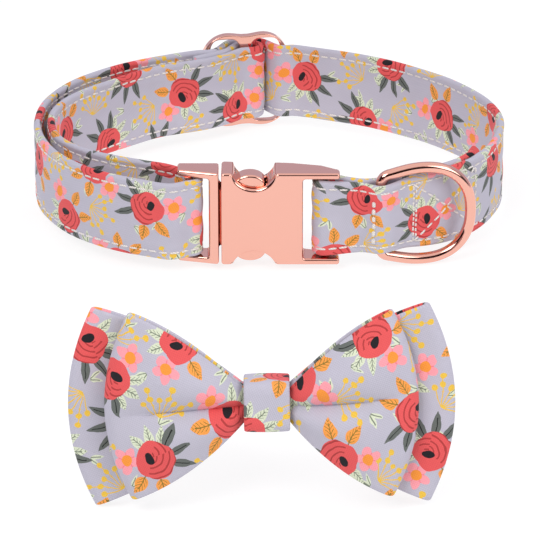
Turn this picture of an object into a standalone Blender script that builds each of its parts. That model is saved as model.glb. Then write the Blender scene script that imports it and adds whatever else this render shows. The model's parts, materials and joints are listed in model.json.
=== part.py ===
"""Pet collar with a snap buckle, a leash ring, a slider and a taken-off bow tie.

The collar stands on its lower edges as a closed oval loop. The strap is one
ribbon: it is sewn round the buckle socket, runs round the back, weaves through
the slider, runs round the left side, turns round the buckle plug and comes back
inside to the slider. The bow tie stands in front of the collar, leaning back.

Lengths are in metres, +X is the wearer's left seen from the front, +Y is the
back of the neck and +Z is up.
"""

import math

import bmesh
import bpy
from mathutils import Matrix, Vector

MM = 0.001
WELD = 0.01 * MM

# Strap: ribbon width, thickness and the gap kept between pieces that touch
STRAP_WIDTH = 25.0 * MM
STRAP_THICK = 2.4 * MM
GAP = 0.3 * MM
# Looser gap where the strap bends round a bar
BEND_GAP = 0.5 * MM

# Oval that the strap's outer face follows
OVAL_HALF_WIDTH = 73.6 * MM
OVAL_DEPTH = 60.0 * MM

# Largest distance of the strap's inner layer from the outline, on the left side
LAYER_SPREAD = 15.5 * MM
# How far the strap's edges are gathered in where they pass through the ring
TUNNEL_GATHER = 1.4 * MM
TUNNEL_LENGTH = 22.0 * MM

# Buckle
BAR_DIAMETER = 2.6 * MM
BUCKLE_ARM = 2.0 * MM
BUCKLE_SIDE_PLAY = 0.5 * MM
BUCKLE_LEFT = -27.7 * MM
BUCKLE_FACE_INSET = 6.0 * MM
BUCKLE_EDGE = 0.6 * MM
BUCKLE_JOINT_GAP = 0.8 * MM
PLUG_LENGTH = 12.5 * MM
PLUG_DEPTH = 9.2 * MM
PLUG_RECESS = 3.1 * MM
PLUG_POST = 3.0 * MM
PLUG_SLOT = 1.8 * MM
SOCKET_DEPTH = 10.5 * MM
SOCKET_PLATE = 24.7 * MM
SOCKET_SLOT = 2.7 * MM
SOCKET_ARM_END = 2.9 * MM
SOCKET_WALL = 1.6 * MM
SOCKET_RIM = 3.5 * MM
SCALLOP_WIDTH = 12.7 * MM
SCALLOP_DEPTH = 5.0 * MM
LUG_WIDTH = 9.6 * MM
LUG_RISE = 3.4 * MM

# Leash ring
RING_WIRE = 3.4 * MM
RING_REACH = 27.8 * MM
RING_HALF_HEIGHT = 15.0 * MM
RING_POWER = 2.3
RING_BAR_X = 33.9 * MM
RING_LEAN = math.radians(4.0)

# Slider
SLIDER_LENGTH = 30.3 * MM
SLIDER_THICK = 2.8 * MM
SLIDER_END_BAR = 3.0 * MM
SLIDER_CENTRE_BAR = 2.4 * MM
SLIDER_RAIL = 3.2 * MM
SLIDER_PLAY = 1.0 * MM
# How far the slider sits above the strap's middle, inside its play
SLIDER_RISE = 0.3 * MM
SLIDER_EDGE = 0.5 * MM
SLIDER_TAIL = 4.4 * MM
SLIDER_X = -8.0 * MM
SLIDER_STAND_OUT = 2.4 * MM
SLIDER_TURN = math.radians(9.0)
SLIDER_WAIST = 0.9 * MM

# Bow tie: two flattened cloth loops, a knot round them and a relaxed elastic
# loop behind, which stretches over the strap
BOW_CLOTH = 1.4 * MM
BOW_FRONT_HALF_WIDTH = 41.0 * MM
BOW_FRONT_HALF_HEIGHT = 25.4 * MM
BOW_BACK_HALF_WIDTH = 50.85 * MM
BOW_BACK_HALF_HEIGHT = 27.1 * MM
# How far the back loop's ends hang below the front loop's
BOW_BACK_DROP = 1.0 * MM
BOW_LEFT_EXTRA = 1.4 * MM
BOW_PUFF = 7.0 * MM
BOW_END_BOW = 6.9 * MM
BOW_PINCH_HALF_HEIGHT = 4.1 * MM
BOW_PINCH_SPACE = 0.8 * MM
BOW_PLEAT = 0.5 * MM
PLEAT_LENGTH = 9.0 * MM
PLEAT_FAN = 0.75
KNOT_WIDTH = 12.2 * MM
KNOT_CLOTH = 1.2 * MM
KNOT_POWER = 6.0
KNOT_BELLY = 0.03
LOOP_BAND_WIDTH = 6.0 * MM
LOOP_BAND_THICK = 1.2 * MM
LOOP_SPACE = 2.0 * MM
LOOP_SHARE = 0.8
BOW_LEAN = math.radians(12.0)
BOW_TILT = math.radians(0.8)
BOW_PLACE_X = -0.5 * MM
BOW_PLACE_Y = -202.8 * MM

# Values worked out from the sizes above
PITCH = STRAP_THICK + GAP
FOLD_RADIUS = BAR_DIAMETER / 2 + BEND_GAP + STRAP_THICK / 2
FOLD_OUTER = FOLD_RADIUS + STRAP_THICK / 2
BUCKLE_OPENING = STRAP_WIDTH + 2 * BUCKLE_SIDE_PLAY
BUCKLE_HEIGHT = BUCKLE_OPENING + 2 * BUCKLE_ARM
BUCKLE_FACE_Y = BUCKLE_FACE_INSET - OVAL_DEPTH
BUCKLE_BAR_Y = BUCKLE_FACE_Y + FOLD_OUTER
PLUG_RIGHT = BUCKLE_LEFT + PLUG_LENGTH
PLUG_BAR_X = PLUG_RIGHT - PLUG_POST - PLUG_SLOT - FOLD_OUTER
SOCKET_LEFT = PLUG_RIGHT + BUCKLE_JOINT_GAP
SOCKET_BAR_X = SOCKET_LEFT + SOCKET_PLATE + SOCKET_SLOT + FOLD_OUTER
SOCKET_RIGHT = SOCKET_BAR_X + BAR_DIAMETER / 2 + SOCKET_ARM_END
LUG_X = SOCKET_LEFT + SOCKET_RIM + SCALLOP_WIDTH / 2
SLIDER_WINDOW_HALF = STRAP_WIDTH / 2 + SLIDER_PLAY
SLIDER_HEIGHT = 2 * (SLIDER_WINDOW_HALF + SLIDER_RAIL)
BEND_OFFSET = SLIDER_CENTRE_BAR / 2 + 0.42 * STRAP_THICK
RING_INSIDE = STRAP_WIDTH - 2 * TUNNEL_GATHER + 2 * BEND_GAP
RING_BAR_HALF = RING_INSIDE / 2 + RING_WIRE / 2
CENTRE_Z = max(SLIDER_HEIGHT / 2 - SLIDER_RISE, BUCKLE_HEIGHT / 2, RING_HALF_HEIGHT + RING_WIRE / 2 + GAP)
BOW_LAYER_HALF = BOW_CLOTH + BOW_PINCH_SPACE / 2
BOW_STACK_HALF = 2 * BOW_LAYER_HALF + GAP + BOW_PLEAT

# Shape of the oval by quarter: depth as a share of OVAL_DEPTH, and how square
# the quarter is (2 is an ellipse)
OVAL = {
    "front": {"depth": 1.0, "power": 2.3},
    "back_left": {"depth": 1.0, "power": 2.0},
    "back_right": {"depth": 1.04, "power": 1.7},
}

# Strap beside the leash ring: angle round the oval in degrees, and how far it
# runs inside the outline as a share of RING_WIRE
RING_SIDE = (
    {"angle": -57.0, "share": 0.65},
    {"angle": -52.0, "share": 0.52},
    {"angle": -44.0, "share": 0.25},
    {"angle": -36.0, "share": 0.06},
    {"angle": -28.0, "share": 0.0},
)

# Inner layer of the strap on the left side: angle round the oval in degrees,
# and distance from the outline as a share of LAYER_SPREAD
INNER_LAYER = (
    {"angle": 244.0, "share": 1.0},
    {"angle": 234.0, "share": 0.97},
    {"angle": 224.0, "share": 0.86},
    {"angle": 209.0, "share": 0.61},
    {"angle": 194.0, "share": 0.41},
    {"angle": 180.0, "share": 0.34},
    {"angle": 166.0, "share": 0.42},
    {"angle": 153.0, "share": 0.56},
    {"angle": 142.0, "share": 0.64},
    {"angle": 132.0, "share": 0.63},
    {"angle": 123.0, "share": 0.58},
)

# Back of the buckle socket: place along it and depth, as shares of its size
SOCKET_BACK = (
    {"along": 1.0, "depth": 0.38},
    {"along": 0.96, "depth": 0.45},
    {"along": 0.85, "depth": 0.72},
    {"along": 0.68, "depth": 0.86},
    {"along": 0.45, "depth": 0.95},
    {"along": 0.0, "depth": 1.0},
)


def clear_scene():
    """Take every object out of the file."""
    for obj in list(bpy.data.objects):
        bpy.data.objects.remove(obj, do_unlink=True)


def new_collection(name):
    """Make a collection under the scene's own."""
    collection = bpy.data.collections.new(name)
    bpy.context.scene.collection.children.link(collection)
    return collection


def material(name, colour, roughness, metallic):
    """Make a plain Principled material."""
    made = bpy.data.materials.new(name)
    made.use_nodes = True
    shader = made.node_tree.nodes["Principled BSDF"]
    shader.inputs["Base Color"].default_value = (*colour, 1.0)
    shader.inputs["Roughness"].default_value = roughness
    shader.inputs["Metallic"].default_value = metallic
    made.diffuse_color = (*colour, 1.0)
    return made


def mesh_from(source, name, collection):
    """Turn an object's evaluated shape into a mesh object with its caps welded."""
    bpy.context.view_layer.update()
    graph = bpy.context.evaluated_depsgraph_get()
    mesh = bpy.data.meshes.new_from_object(source.evaluated_get(graph))
    shape = bmesh.new()
    shape.from_mesh(mesh)
    bmesh.ops.remove_doubles(shape, verts=shape.verts, dist=WELD)
    bmesh.ops.recalc_face_normals(shape, faces=shape.faces)
    shape.to_mesh(mesh)
    shape.free()
    mesh.name = name
    obj = bpy.data.objects.new(name, mesh)
    obj.matrix_world = source.matrix_world.copy()
    collection.objects.link(obj)
    bpy.data.objects.remove(source, do_unlink=True)
    return obj


def flat_curve(splines, half, edge, cyclic, fill):
    """Draw closed or open lines in the XY plane as a curve with an extrude."""
    curve = bpy.data.curves.new("outline", "CURVE")
    curve.dimensions = "2D"
    curve.fill_mode = fill
    curve.extrude = half - edge
    curve.bevel_depth = edge
    curve.bevel_resolution = 1
    curve.offset = -edge
    for points in splines:
        spline = curve.splines.new("POLY")
        spline.points.add(len(points) - 1)
        for target, (x, y) in zip(spline.points, points):
            target.co = (x, y, 0.0, 1.0)
        spline.use_cyclic_u = cyclic
    obj = bpy.data.objects.new("outline", curve)
    bpy.context.scene.collection.objects.link(obj)
    return obj


def outline_solid(name, collection, splines, half, edge, place=None):
    """Extrude a filled outline, whose inner lines are holes, to a rounded slab."""
    curve = flat_curve(splines, half, edge, True, "BOTH")
    if place is not None:
        curve.matrix_world = place
    return mesh_from(curve, name, collection)


def ribbon(name, collection, points, width, thick, cyclic=False, place=None):
    """Stand a band of cloth on edge along a line of points."""
    curve = flat_curve([points], width / 2, 0.0, cyclic, "NONE")
    if place is not None:
        curve.matrix_world = place
    obj = mesh_from(curve, name, collection)
    solidify(obj, thick)
    return obj


def solidify(obj, thick):
    """Give an open surface a wall of even thickness about its middle."""
    wall = obj.modifiers.new("Wall", "SOLIDIFY")
    wall.thickness = thick
    wall.offset = 0.0
    wall.use_even_offset = True


def cutter(name, place, size, shape="box", sides=32):
    """Add a box, or an elliptic cylinder along Y or Z, that only cuts or joins."""
    solid = bmesh.new()
    if shape == "box":
        bmesh.ops.create_cube(solid, size=1.0)
    else:
        turn = Matrix.Rotation(math.radians(90.0), 4, "X") if shape == "along_y" else Matrix()
        bmesh.ops.create_cone(solid, cap_ends=True, segments=sides, radius1=0.5, radius2=0.5,
                              depth=1.0, matrix=turn)
    bmesh.ops.scale(solid, vec=Vector(size), verts=solid.verts)
    mesh = bpy.data.meshes.new(name)
    solid.to_mesh(mesh)
    solid.free()
    obj = bpy.data.objects.new(name, mesh)
    obj.location = place
    obj.hide_render = True
    obj.display_type = "WIRE"
    CUTTERS.objects.link(obj)
    return obj


def boolean(obj, other, operation):
    """Cut or join with another closed mesh."""
    change = obj.modifiers.new(operation.title(), "BOOLEAN")
    change.operation = operation
    change.object = other
    change.solver = "EXACT"


def finish(obj, paint, smooth_angle=35.0):
    """Give a piece its material and its shading."""
    obj.data.materials.clear()
    obj.data.materials.append(paint)
    obj.data.shade_smooth()
    obj.data.set_sharp_from_angle(angle=math.radians(smooth_angle))


def oval_edge(turn):
    """Find a point of the outline's oval, in plan.

    Each quarter is part of a superellipse: x is the half width times the cosine
    to the power 2/n and y is the quarter's depth times the sine to 2/n.
    """
    c, s = math.cos(turn), math.sin(turn)
    quarter = OVAL["front" if s < 0 else "back_left" if c < 0 else "back_right"]
    power = 2 / quarter["power"]
    return Vector((math.copysign(abs(c) ** power, c) * OVAL_HALF_WIDTH,
                   math.copysign(abs(s) ** power, s) * OVAL_DEPTH * quarter["depth"]))


def oval(angle, inward=0.0):
    """Find a point at a distance inside the outline, from an angle in degrees."""
    turn = math.radians(angle)
    step = math.radians(0.5)
    along = (oval_edge(turn + step) - oval_edge(turn - step)).normalized()
    return oval_edge(turn) + Vector((-along.y, along.x)) * inward


def oval_y(x, quarter):
    """Find the outline's distance from the middle at a given x, in one quarter."""
    row = OVAL[quarter]
    share = abs(x / OVAL_HALF_WIDTH) ** row["power"]
    return OVAL_DEPTH * row["depth"] * (1 - share) ** (1 / row["power"])


def arc(centre, radius, start, end, count):
    """List points on an arc in plan, from one angle in degrees to another."""
    points = []
    for i in range(count + 1):
        at = math.radians(start + (end - start) * i / count)
        points.append(centre + Vector((math.cos(at), math.sin(at))) * radius)
    return points


def through(points, fine=0.1 * STRAP_THICK, turn=14.0, longest=2.5 * STRAP_THICK):
    """Run a centripetal Catmull-Rom curve through the points and thin it out.

    A point is kept where the curve has turned by the given angle in degrees
    since the last one, or has run the longest step.
    """
    ends = [points[0] * 2 - points[1]] + list(points) + [points[-1] * 2 - points[-2]]
    dense = [points[0].copy()]
    for a, b, c, d in zip(ends, ends[1:], ends[2:], ends[3:]):
        t0 = 0.0
        t1 = t0 + math.sqrt((b - a).length)
        t2 = t1 + math.sqrt((c - b).length)
        t3 = t2 + math.sqrt((d - c).length)
        count = max(2, round((c - b).length / fine))
        for i in range(1, count + 1):
            t = t1 + (t2 - t1) * i / count
            ab = a.lerp(b, (t - t0) / (t1 - t0))
            bc = b.lerp(c, (t - t1) / (t2 - t1))
            cd = c.lerp(d, (t - t2) / (t3 - t2))
            abc = ab.lerp(bc, (t - t0) / (t2 - t0))
            bcd = bc.lerp(cd, (t - t1) / (t3 - t1))
            dense.append(abc.lerp(bcd, (t - t1) / (t2 - t1)))
    kept = [dense[0]]
    run = 0.0
    heading = (dense[1] - dense[0]).normalized()
    for last, here, following in zip(dense, dense[1:], dense[2:]):
        run += (here - last).length
        ahead = (following - here).normalized()
        if math.degrees(heading.angle(ahead, 0.0)) >= turn or run >= longest:
            kept.append(here)
            heading = ahead
            run = 0.0
    kept.append(dense[-1])
    return kept


def ring_bar():
    """Place the leash ring's straight bar, between the strap's two layers."""
    outer_face = -oval_y(RING_BAR_X, "front")
    return Vector((RING_BAR_X, outer_face + STRAP_THICK + BEND_GAP + RING_WIRE / 2))


def ring_turn():
    """Lay the leash ring beside the strap, as far back as its far third may turn.

    From the bar, each place of the strap beside that third has a direction. The
    ring keeps the wire's half and the gap outside the outermost of them, and
    leans out a little more.
    """
    beside = [oval(row["angle"], row["share"] * RING_WIRE) for row in RING_SIDE]
    beside += [oval(angle) for angle in range(-20, 8, 9)]
    turns = []
    for place in through(beside, longest=STRAP_THICK):
        away = place - ring_bar()
        if 0.67 * RING_REACH < away.length < RING_REACH + RING_WIRE:
            clear = math.asin((RING_WIRE / 2 + GAP) / away.length)
            turns.append(math.atan2(away.y, away.x) - clear)
    return min(turns) - RING_LEAN


def slider_frame():
    """Give the slider's place and turn in plan, standing out from the outline."""
    centre = Vector((SLIDER_X, oval_y(SLIDER_X, "back_left") + SLIDER_STAND_OUT))
    return centre, Matrix.Rotation(SLIDER_TURN, 2)


def at_slider(along, out):
    """Turn a place on the slider, along it and out of it, into plan."""
    centre, turn = slider_frame()
    return centre + turn @ Vector((along, out))


def strap_route():
    """List the plan points of the strap's middle line, from end to end."""
    half = STRAP_THICK / 2
    ring = ring_bar()
    past_ring = RING_WIRE / 2 + BEND_GAP + half
    socket_bar = Vector((SOCKET_BAR_X, BUCKLE_BAR_Y))
    plug_bar = Vector((PLUG_BAR_X, BUCKLE_BAR_Y))
    seam = ring.lerp(socket_bar, 0.36)
    past_seam = 0.6 * PITCH

    route = [oval(row["angle"], row["share"] * RING_WIRE + half + 1.06 * PITCH)
             for row in reversed(RING_SIDE)]
    route += [ring + Vector((0.0, past_ring)), seam + Vector((0.0, past_seam))]
    route += arc(socket_bar, FOLD_RADIUS, 95.0, 265.0, 8)
    route += [seam - Vector((0.0, past_seam)), ring - Vector((0.0, past_ring))]
    route += [oval(row["angle"], row["share"] * RING_WIRE + half) for row in RING_SIDE]
    route += [oval(angle, half) for angle in range(-20, 75, 9)]

    route += slider_main_pass()
    route += [oval(angle, half) for angle in range(116, 237, 10)]
    route += [oval(243.0, half), oval(249.0, half)]
    route += arc(plug_bar, FOLD_RADIUS, -85.0, 40.0, 6)
    route += [oval(row["angle"], row["share"] * LAYER_SPREAD) for row in INNER_LAYER]
    route += slider_fold_pass()
    return through(route)


def slider_main_pass():
    """Take the strap out through the right window and in through the left one."""
    first = SLIDER_THICK / 2 + BEND_GAP + STRAP_THICK / 2
    second = first + 1.04 * PITCH
    end_bar = SLIDER_LENGTH / 2 - SLIDER_END_BAR / 2
    window_edge = SLIDER_LENGTH / 2 - SLIDER_END_BAR
    route = [at_slider(end_bar + 0.83 * STRAP_THICK, -first), at_slider(end_bar, -first)]
    route += [at_slider(window_edge - 0.5 * STRAP_THICK, 0.85 * -first)]
    route += slider_bend(second, 33.0, 90.0, 4)
    route += [at_slider(-SLIDER_CENTRE_BAR / 2 - 0.25 * STRAP_THICK, second)]
    route += [at_slider(-SLIDER_CENTRE_BAR / 2 - 1.3 * STRAP_THICK, 0.84 * second)]
    route += [at_slider(0.58 * STRAP_THICK - window_edge, 0.84 * -first)]
    route += [at_slider(-end_bar, -first)]
    return route + [at_slider(-end_bar - 0.83 * STRAP_THICK, -first)]


def slider_fold_pass():
    """Fold the strap's end round the centre bar and lay it against itself."""
    first = SLIDER_THICK / 2 + BEND_GAP + STRAP_THICK / 2
    end_bar = SLIDER_LENGTH / 2 - SLIDER_END_BAR / 2
    route = [at_slider(-end_bar, -first - 2.7 * PITCH)]
    route += [at_slider(-end_bar / 2, -first - 1.4 * PITCH)]
    route += [at_slider(-SLIDER_CENTRE_BAR / 2, 1.03 * -first)]
    route += slider_bend(first, -90.0, 90.0, 8)
    route += [at_slider(-SLIDER_CENTRE_BAR / 2, first)]
    route += [at_slider(-SLIDER_CENTRE_BAR / 2 - 0.58 * STRAP_THICK, 0.7 * first)]
    route += [at_slider(-end_bar / 2, -first)]
    route += [at_slider(-0.75 * end_bar, -first - 0.83 * PITCH)]
    route += [at_slider(-end_bar, -first - 1.4 * PITCH)]
    return route + [at_slider(-end_bar - SLIDER_TAIL, -first - 1.93 * PITCH)]


def slider_bend(radius, start, end, count):
    """Bend round the slider's centre bar, on an arc set off towards the right."""
    return [at_slider(spoke.x + BEND_OFFSET, spoke.y)
            for spoke in arc(Vector((0.0, 0.0)), radius, start, end, count)]


def build_strap():
    """Stand the strap on edge and gather it where the ring's bar crosses it."""
    obj = ribbon("strap", PIECES, [(p.x, p.y) for p in strap_route()], STRAP_WIDTH, STRAP_THICK)
    obj.location.z = CENTRE_Z
    ring = ring_bar()
    for vertex in obj.data.vertices:
        away = abs(vertex.co.x - ring.x) / TUNNEL_LENGTH
        if vertex.co.y < 0 and away < 1:
            fade = 0.5 + 0.5 * math.cos(math.pi * away)
            vertex.co.z *= 1 - fade * TUNNEL_GATHER / (STRAP_WIDTH / 2)
    finish(obj, CLOTH)
    return obj


def build_socket():
    """Make the buckle's socket: plate, scallops, slot, strap bar and cavity."""
    length = SOCKET_RIGHT - SOCKET_LEFT
    outline = [(SOCKET_LEFT, BUCKLE_FACE_Y), (SOCKET_RIGHT, BUCKLE_FACE_Y)]
    for row in SOCKET_BACK:
        outline.append((SOCKET_LEFT + row["along"] * length,
                        BUCKLE_FACE_Y + row["depth"] * SOCKET_DEPTH))
    obj = outline_solid("buckle_socket", PIECES, [outline], BUCKLE_HEIGHT / 2, BUCKLE_EDGE)
    obj.location.z = CENTRE_Z

    window_left = SOCKET_LEFT + SOCKET_PLATE
    window_right = SOCKET_RIGHT + SOCKET_ARM_END
    window = cutter("socket_window",
                    ((window_left + window_right) / 2, BUCKLE_FACE_Y, CENTRE_Z),
                    (window_right - window_left, 3 * SOCKET_DEPTH, BUCKLE_OPENING))
    boolean(obj, window, "DIFFERENCE")

    radius = (SCALLOP_WIDTH ** 2 / 4 + SCALLOP_DEPTH ** 2) / (2 * SCALLOP_DEPTH)
    for side in (1, -1):
        place_z = CENTRE_Z + side * (BUCKLE_HEIGHT / 2 - SCALLOP_DEPTH + radius)
        scallop = cutter("socket_scallop", (LUG_X, BUCKLE_FACE_Y, place_z),
                         (2 * radius, 3 * SOCKET_DEPTH, 2 * radius), "along_y")
        boolean(obj, scallop, "DIFFERENCE")

    cavity_left = SOCKET_LEFT - BUCKLE_JOINT_GAP
    cavity_right = LUG_X + SCALLOP_WIDTH / 2 + SOCKET_RIM
    cavity = cutter("socket_cavity", ((cavity_left + cavity_right) / 2, cavity_y(), CENTRE_Z),
                    (cavity_right - cavity_left, cavity_depth(), cavity_height()))
    boolean(obj, cavity, "DIFFERENCE")
    add_bar(obj, SOCKET_BAR_X)
    finish(obj, METAL)
    return obj


def add_bar(obj, x):
    """Join the round upright bar that the strap turns round to a buckle half."""
    bar = cutter("strap_bar", (x, BUCKLE_BAR_Y, CENTRE_Z),
                 (BAR_DIAMETER, BAR_DIAMETER, BUCKLE_OPENING + BUCKLE_ARM), "along_z", 12)
    boolean(obj, bar, "UNION")


def cavity_y():
    """Give the middle of the socket's cavity between its front and back walls."""
    return BUCKLE_FACE_Y + SOCKET_WALL + cavity_depth() / 2


def cavity_depth():
    """Give the cavity's depth, which leaves a wall in front and behind."""
    return 0.93 * SOCKET_DEPTH - 2 * SOCKET_WALL


def cavity_height():
    """Give the cavity's height, which leaves the rim closed above and below."""
    return BUCKLE_HEIGHT - 2 * (BUCKLE_ARM + SOCKET_WALL)


def build_plug():
    """Make the buckle's plug: frame, strap bar, tongue and two release lugs."""
    outline = [(BUCKLE_LEFT, BUCKLE_FACE_Y + PLUG_RECESS),
               (PLUG_RIGHT, BUCKLE_FACE_Y),
               (PLUG_RIGHT, BUCKLE_FACE_Y + PLUG_DEPTH),
               (BUCKLE_LEFT, BUCKLE_FACE_Y + PLUG_DEPTH)]
    obj = outline_solid("buckle_plug", PIECES, [outline], BUCKLE_HEIGHT / 2, BUCKLE_EDGE)
    obj.location.z = CENTRE_Z

    window_left = BUCKLE_LEFT - PLUG_POST
    window_right = PLUG_RIGHT - PLUG_POST
    window = cutter("plug_window", ((window_left + window_right) / 2, BUCKLE_FACE_Y, CENTRE_Z),
                    (window_right - window_left, 3 * PLUG_DEPTH, BUCKLE_OPENING))
    boolean(obj, window, "DIFFERENCE")
    add_bar(obj, PLUG_BAR_X)

    tongue_left = PLUG_RIGHT - PLUG_POST / 2
    tongue_right = LUG_X + SCALLOP_WIDTH / 2
    tongue_depth = cavity_depth() - 2 * GAP
    tongue_half = BUCKLE_HEIGHT / 2 - SCALLOP_DEPTH - 2 * GAP
    tongue = cutter("plug_tongue", ((tongue_left + tongue_right) / 2, cavity_y(), CENTRE_Z),
                    (tongue_right - tongue_left, tongue_depth, 2 * tongue_half))
    boolean(obj, tongue, "UNION")
    for side in (1, -1):
        lug = cutter("plug_lug", (LUG_X, cavity_y(), CENTRE_Z + side * tongue_half),
                     (LUG_WIDTH, 0.84 * tongue_depth, 2 * LUG_RISE), "along_y", 24)
        boolean(obj, lug, "UNION")
    finish(obj, METAL)
    return obj


def ring_line():
    """List the ring's middle line in its own plane, out from the bar and up.

    The bar is straight. From its rounded ends the wire rises to the full half
    height and comes round as half a superellipse.
    """
    corner = 0.8 * RING_WIRE
    widest = 0.46 * RING_REACH
    upper = [(0.0, RING_BAR_HALF - corner)]
    for step in (30.0, 60.0, 90.0):
        at = math.radians(step)
        upper.append((corner * (1 - math.cos(at)), RING_BAR_HALF - corner * (1 - math.sin(at))))
    rise = RING_HALF_HEIGHT - RING_BAR_HALF
    for share in (0.35, 0.7):
        out = corner + (widest - corner) * share
        upper.append((out, RING_BAR_HALF + rise * math.sin(math.pi / 2 * share)))
    for step in range(0, 90, 10):
        at = math.radians(step)
        upper.append((widest + (RING_REACH - widest) * math.sin(at) ** (2 / RING_POWER),
                      RING_HALF_HEIGHT * math.cos(at) ** (2 / RING_POWER)))
    lower = [(out, -up) for out, up in reversed(upper)]
    return upper + [(RING_REACH, 0.0)] + lower


def build_ring():
    """Bend the leash ring's wire; its origin is on the bar, where it turns."""
    curve = bpy.data.curves.new("ring_wire", "CURVE")
    curve.dimensions = "3D"
    curve.bevel_depth = RING_WIRE / 2
    curve.bevel_resolution = 3
    line = ring_line()
    spline = curve.splines.new("POLY")
    spline.points.add(len(line) - 1)
    for target, (out, up) in zip(spline.points, line):
        target.co = (out, 0.0, up, 1.0)
    spline.use_cyclic_u = True
    source = bpy.data.objects.new("ring_wire", curve)
    bpy.context.scene.collection.objects.link(source)
    obj = mesh_from(source, "d_ring", PIECES)
    bar = ring_bar()
    obj.location = (bar.x, bar.y, CENTRE_Z)
    obj.rotation_euler.z = ring_turn()
    finish(obj, METAL, 60.0)
    return obj


def superellipse(half_width, half_height, power, count, centre=0.0):
    """List points of a closed superellipse about a place on the X axis."""
    points = []
    for i in range(count):
        at = 2 * math.pi * (i + 0.5) / count
        c, s = math.cos(at), math.sin(at)
        points.append((centre + math.copysign(abs(c) ** (2 / power), c) * half_width,
                       math.copysign(abs(s) ** (2 / power), s) * half_height))
    return points


def build_slider():
    """Make the slider: a waisted rounded plate with a window on each side."""
    outer = []
    for x, z in superellipse(SLIDER_LENGTH / 2, SLIDER_HEIGHT / 2, 3.2, 40):
        dip = SLIDER_WAIST * math.exp(-(x / (0.16 * SLIDER_LENGTH)) ** 2)
        outer.append((x, math.copysign(abs(z) - dip * (abs(z) > SLIDER_HEIGHT / 4), z)))
    window_half = (SLIDER_LENGTH / 2 - SLIDER_END_BAR - SLIDER_CENTRE_BAR / 2) / 2
    window_middle = SLIDER_CENTRE_BAR / 2 + window_half
    windows = [superellipse(window_half, SLIDER_WINDOW_HALF, 7.0, 28, side * window_middle)
               for side in (1, -1)]
    centre, _ = slider_frame()
    place = (Matrix.Translation((centre.x, centre.y, CENTRE_Z + SLIDER_RISE))
             @ Matrix.Rotation(SLIDER_TURN, 4, "Z") @ Matrix.Rotation(math.pi / 2, 4, "X"))
    obj = outline_solid("slider", PIECES, [outer] + windows, SLIDER_THICK / 2, SLIDER_EDGE, place)
    finish(obj, METAL)
    return obj


def cloth_loop(name, around, rows, shape, wall):
    """Bend a grid into a closed loop of cloth, open above and below.

    The grid's first direction runs once round the loop and its second runs
    from the lower edge to the upper one; shape gives each grid point's place.
    """
    solid = bmesh.new()
    bmesh.ops.create_grid(solid, x_segments=around, y_segments=rows, size=0.5)
    for vertex in solid.verts:
        vertex.co = shape(vertex.co.x + 0.5, vertex.co.y * 2)
    bmesh.ops.remove_doubles(solid, verts=solid.verts, dist=WELD)
    bmesh.ops.recalc_face_normals(solid, faces=solid.faces)
    mesh = bpy.data.meshes.new(name)
    solid.to_mesh(mesh)
    solid.free()
    obj = bpy.data.objects.new(name, mesh)
    PIECES.objects.link(obj)
    solidify(obj, wall)
    return obj


def wing_height(share, half_height):
    """Give the wing's half height: the pinch at the knot, then a rounded flare."""
    flare = share * (1 + 0.45 * (1 - share))
    return BOW_PINCH_HALF_HEIGHT + (half_height - BOW_PINCH_HALF_HEIGHT) * flare


def bow_shape(half_width, half_height, plane, front_puff, back_puff, drop=0.0):
    """Return the function that places the points of one bow loop.

    Once round the loop is the angle: its cosine carries the point from one wing
    end to the other and its sign says front or back. Each wing flares from the
    knot to its bowed end. The cloth puffs out between the knot and the end,
    less towards the upper and lower edges, and a crease at mid height, deep
    at the knot, dies out along the wing. Pleats fan out from the knot and
    move every layer alike. The ends may hang lower than the knot by a drop.
    """
    pinch = BOW_LAYER_HALF - BOW_CLOTH / 2
    hidden = KNOT_WIDTH / 2 + GAP

    def place(around, up):
        angle = 2 * math.pi * around
        reach = math.cos(angle)
        front = math.sin(angle) >= 0
        side_width = half_width - math.copysign(BOW_LEFT_EXTRA, reach)
        span = side_width - BOW_END_BOW * up * up
        x = math.copysign(abs(reach) ** 0.85, reach) * span
        share = max(0.0, (abs(x) - hidden) / (span - hidden))
        z = up * wing_height(share, half_height)
        puff = front_puff if front else back_puff
        swell = math.sin(math.pi * share ** 0.8) * (1 - 0.75 * up * up) + 0.12 * share
        crease = math.exp(-(up / 0.2) ** 2) * (1 - share) ** 0.6
        lift = pinch + puff * swell * (1 - 0.8 * crease)
        rounding = math.sqrt(max(0.0, 1 - max(0.0, (abs(reach) - 0.94) / 0.06) ** 2))
        beside = max(0.0, abs(x) - hidden)
        fan = z / (BOW_PINCH_HALF_HEIGHT + PLEAT_FAN * beside)
        pleat = BOW_PLEAT * math.cos(2 * math.pi * fan) * math.exp(-beside / PLEAT_LENGTH)
        y = plane + pleat + (-lift if front else lift) * rounding
        return Vector((x, y, z - drop * share))

    return place


def knot_half_depth():
    """Give the knot band's half depth, with its corners clear of the layers.

    A rectangle fits inside a superellipse of power n that is larger by two to
    the power 1/n.
    """
    return (BOW_STACK_HALF + 3 * GAP) * 2 ** (1 / KNOT_POWER) + KNOT_CLOTH / 2


def knot_half_height():
    """Give the knot band's half height, with its corners clear of the pinch."""
    return (BOW_PINCH_HALF_HEIGHT + 3 * GAP) * 2 ** (1 / KNOT_POWER) + KNOT_CLOTH / 2


def build_knot():
    """Wrap the knot's band round the pinched loops."""
    half_depth = knot_half_depth()
    half_height = knot_half_height()

    def place(around, across):
        angle = 2 * math.pi * around
        c, s = math.cos(angle), math.sin(angle)
        belly = 1 + KNOT_BELLY * (1 - across * across)
        return Vector((across * KNOT_WIDTH / 2,
                       math.copysign(abs(c) ** (2 / KNOT_POWER), c) * half_depth * belly,
                       math.copysign(abs(s) ** (2 / KNOT_POWER), s) * half_height * belly))

    obj = cloth_loop("bow_knot", 56, 6, place, KNOT_CLOTH)
    finish(obj, CLOTH, 80.0)
    return obj


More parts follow.
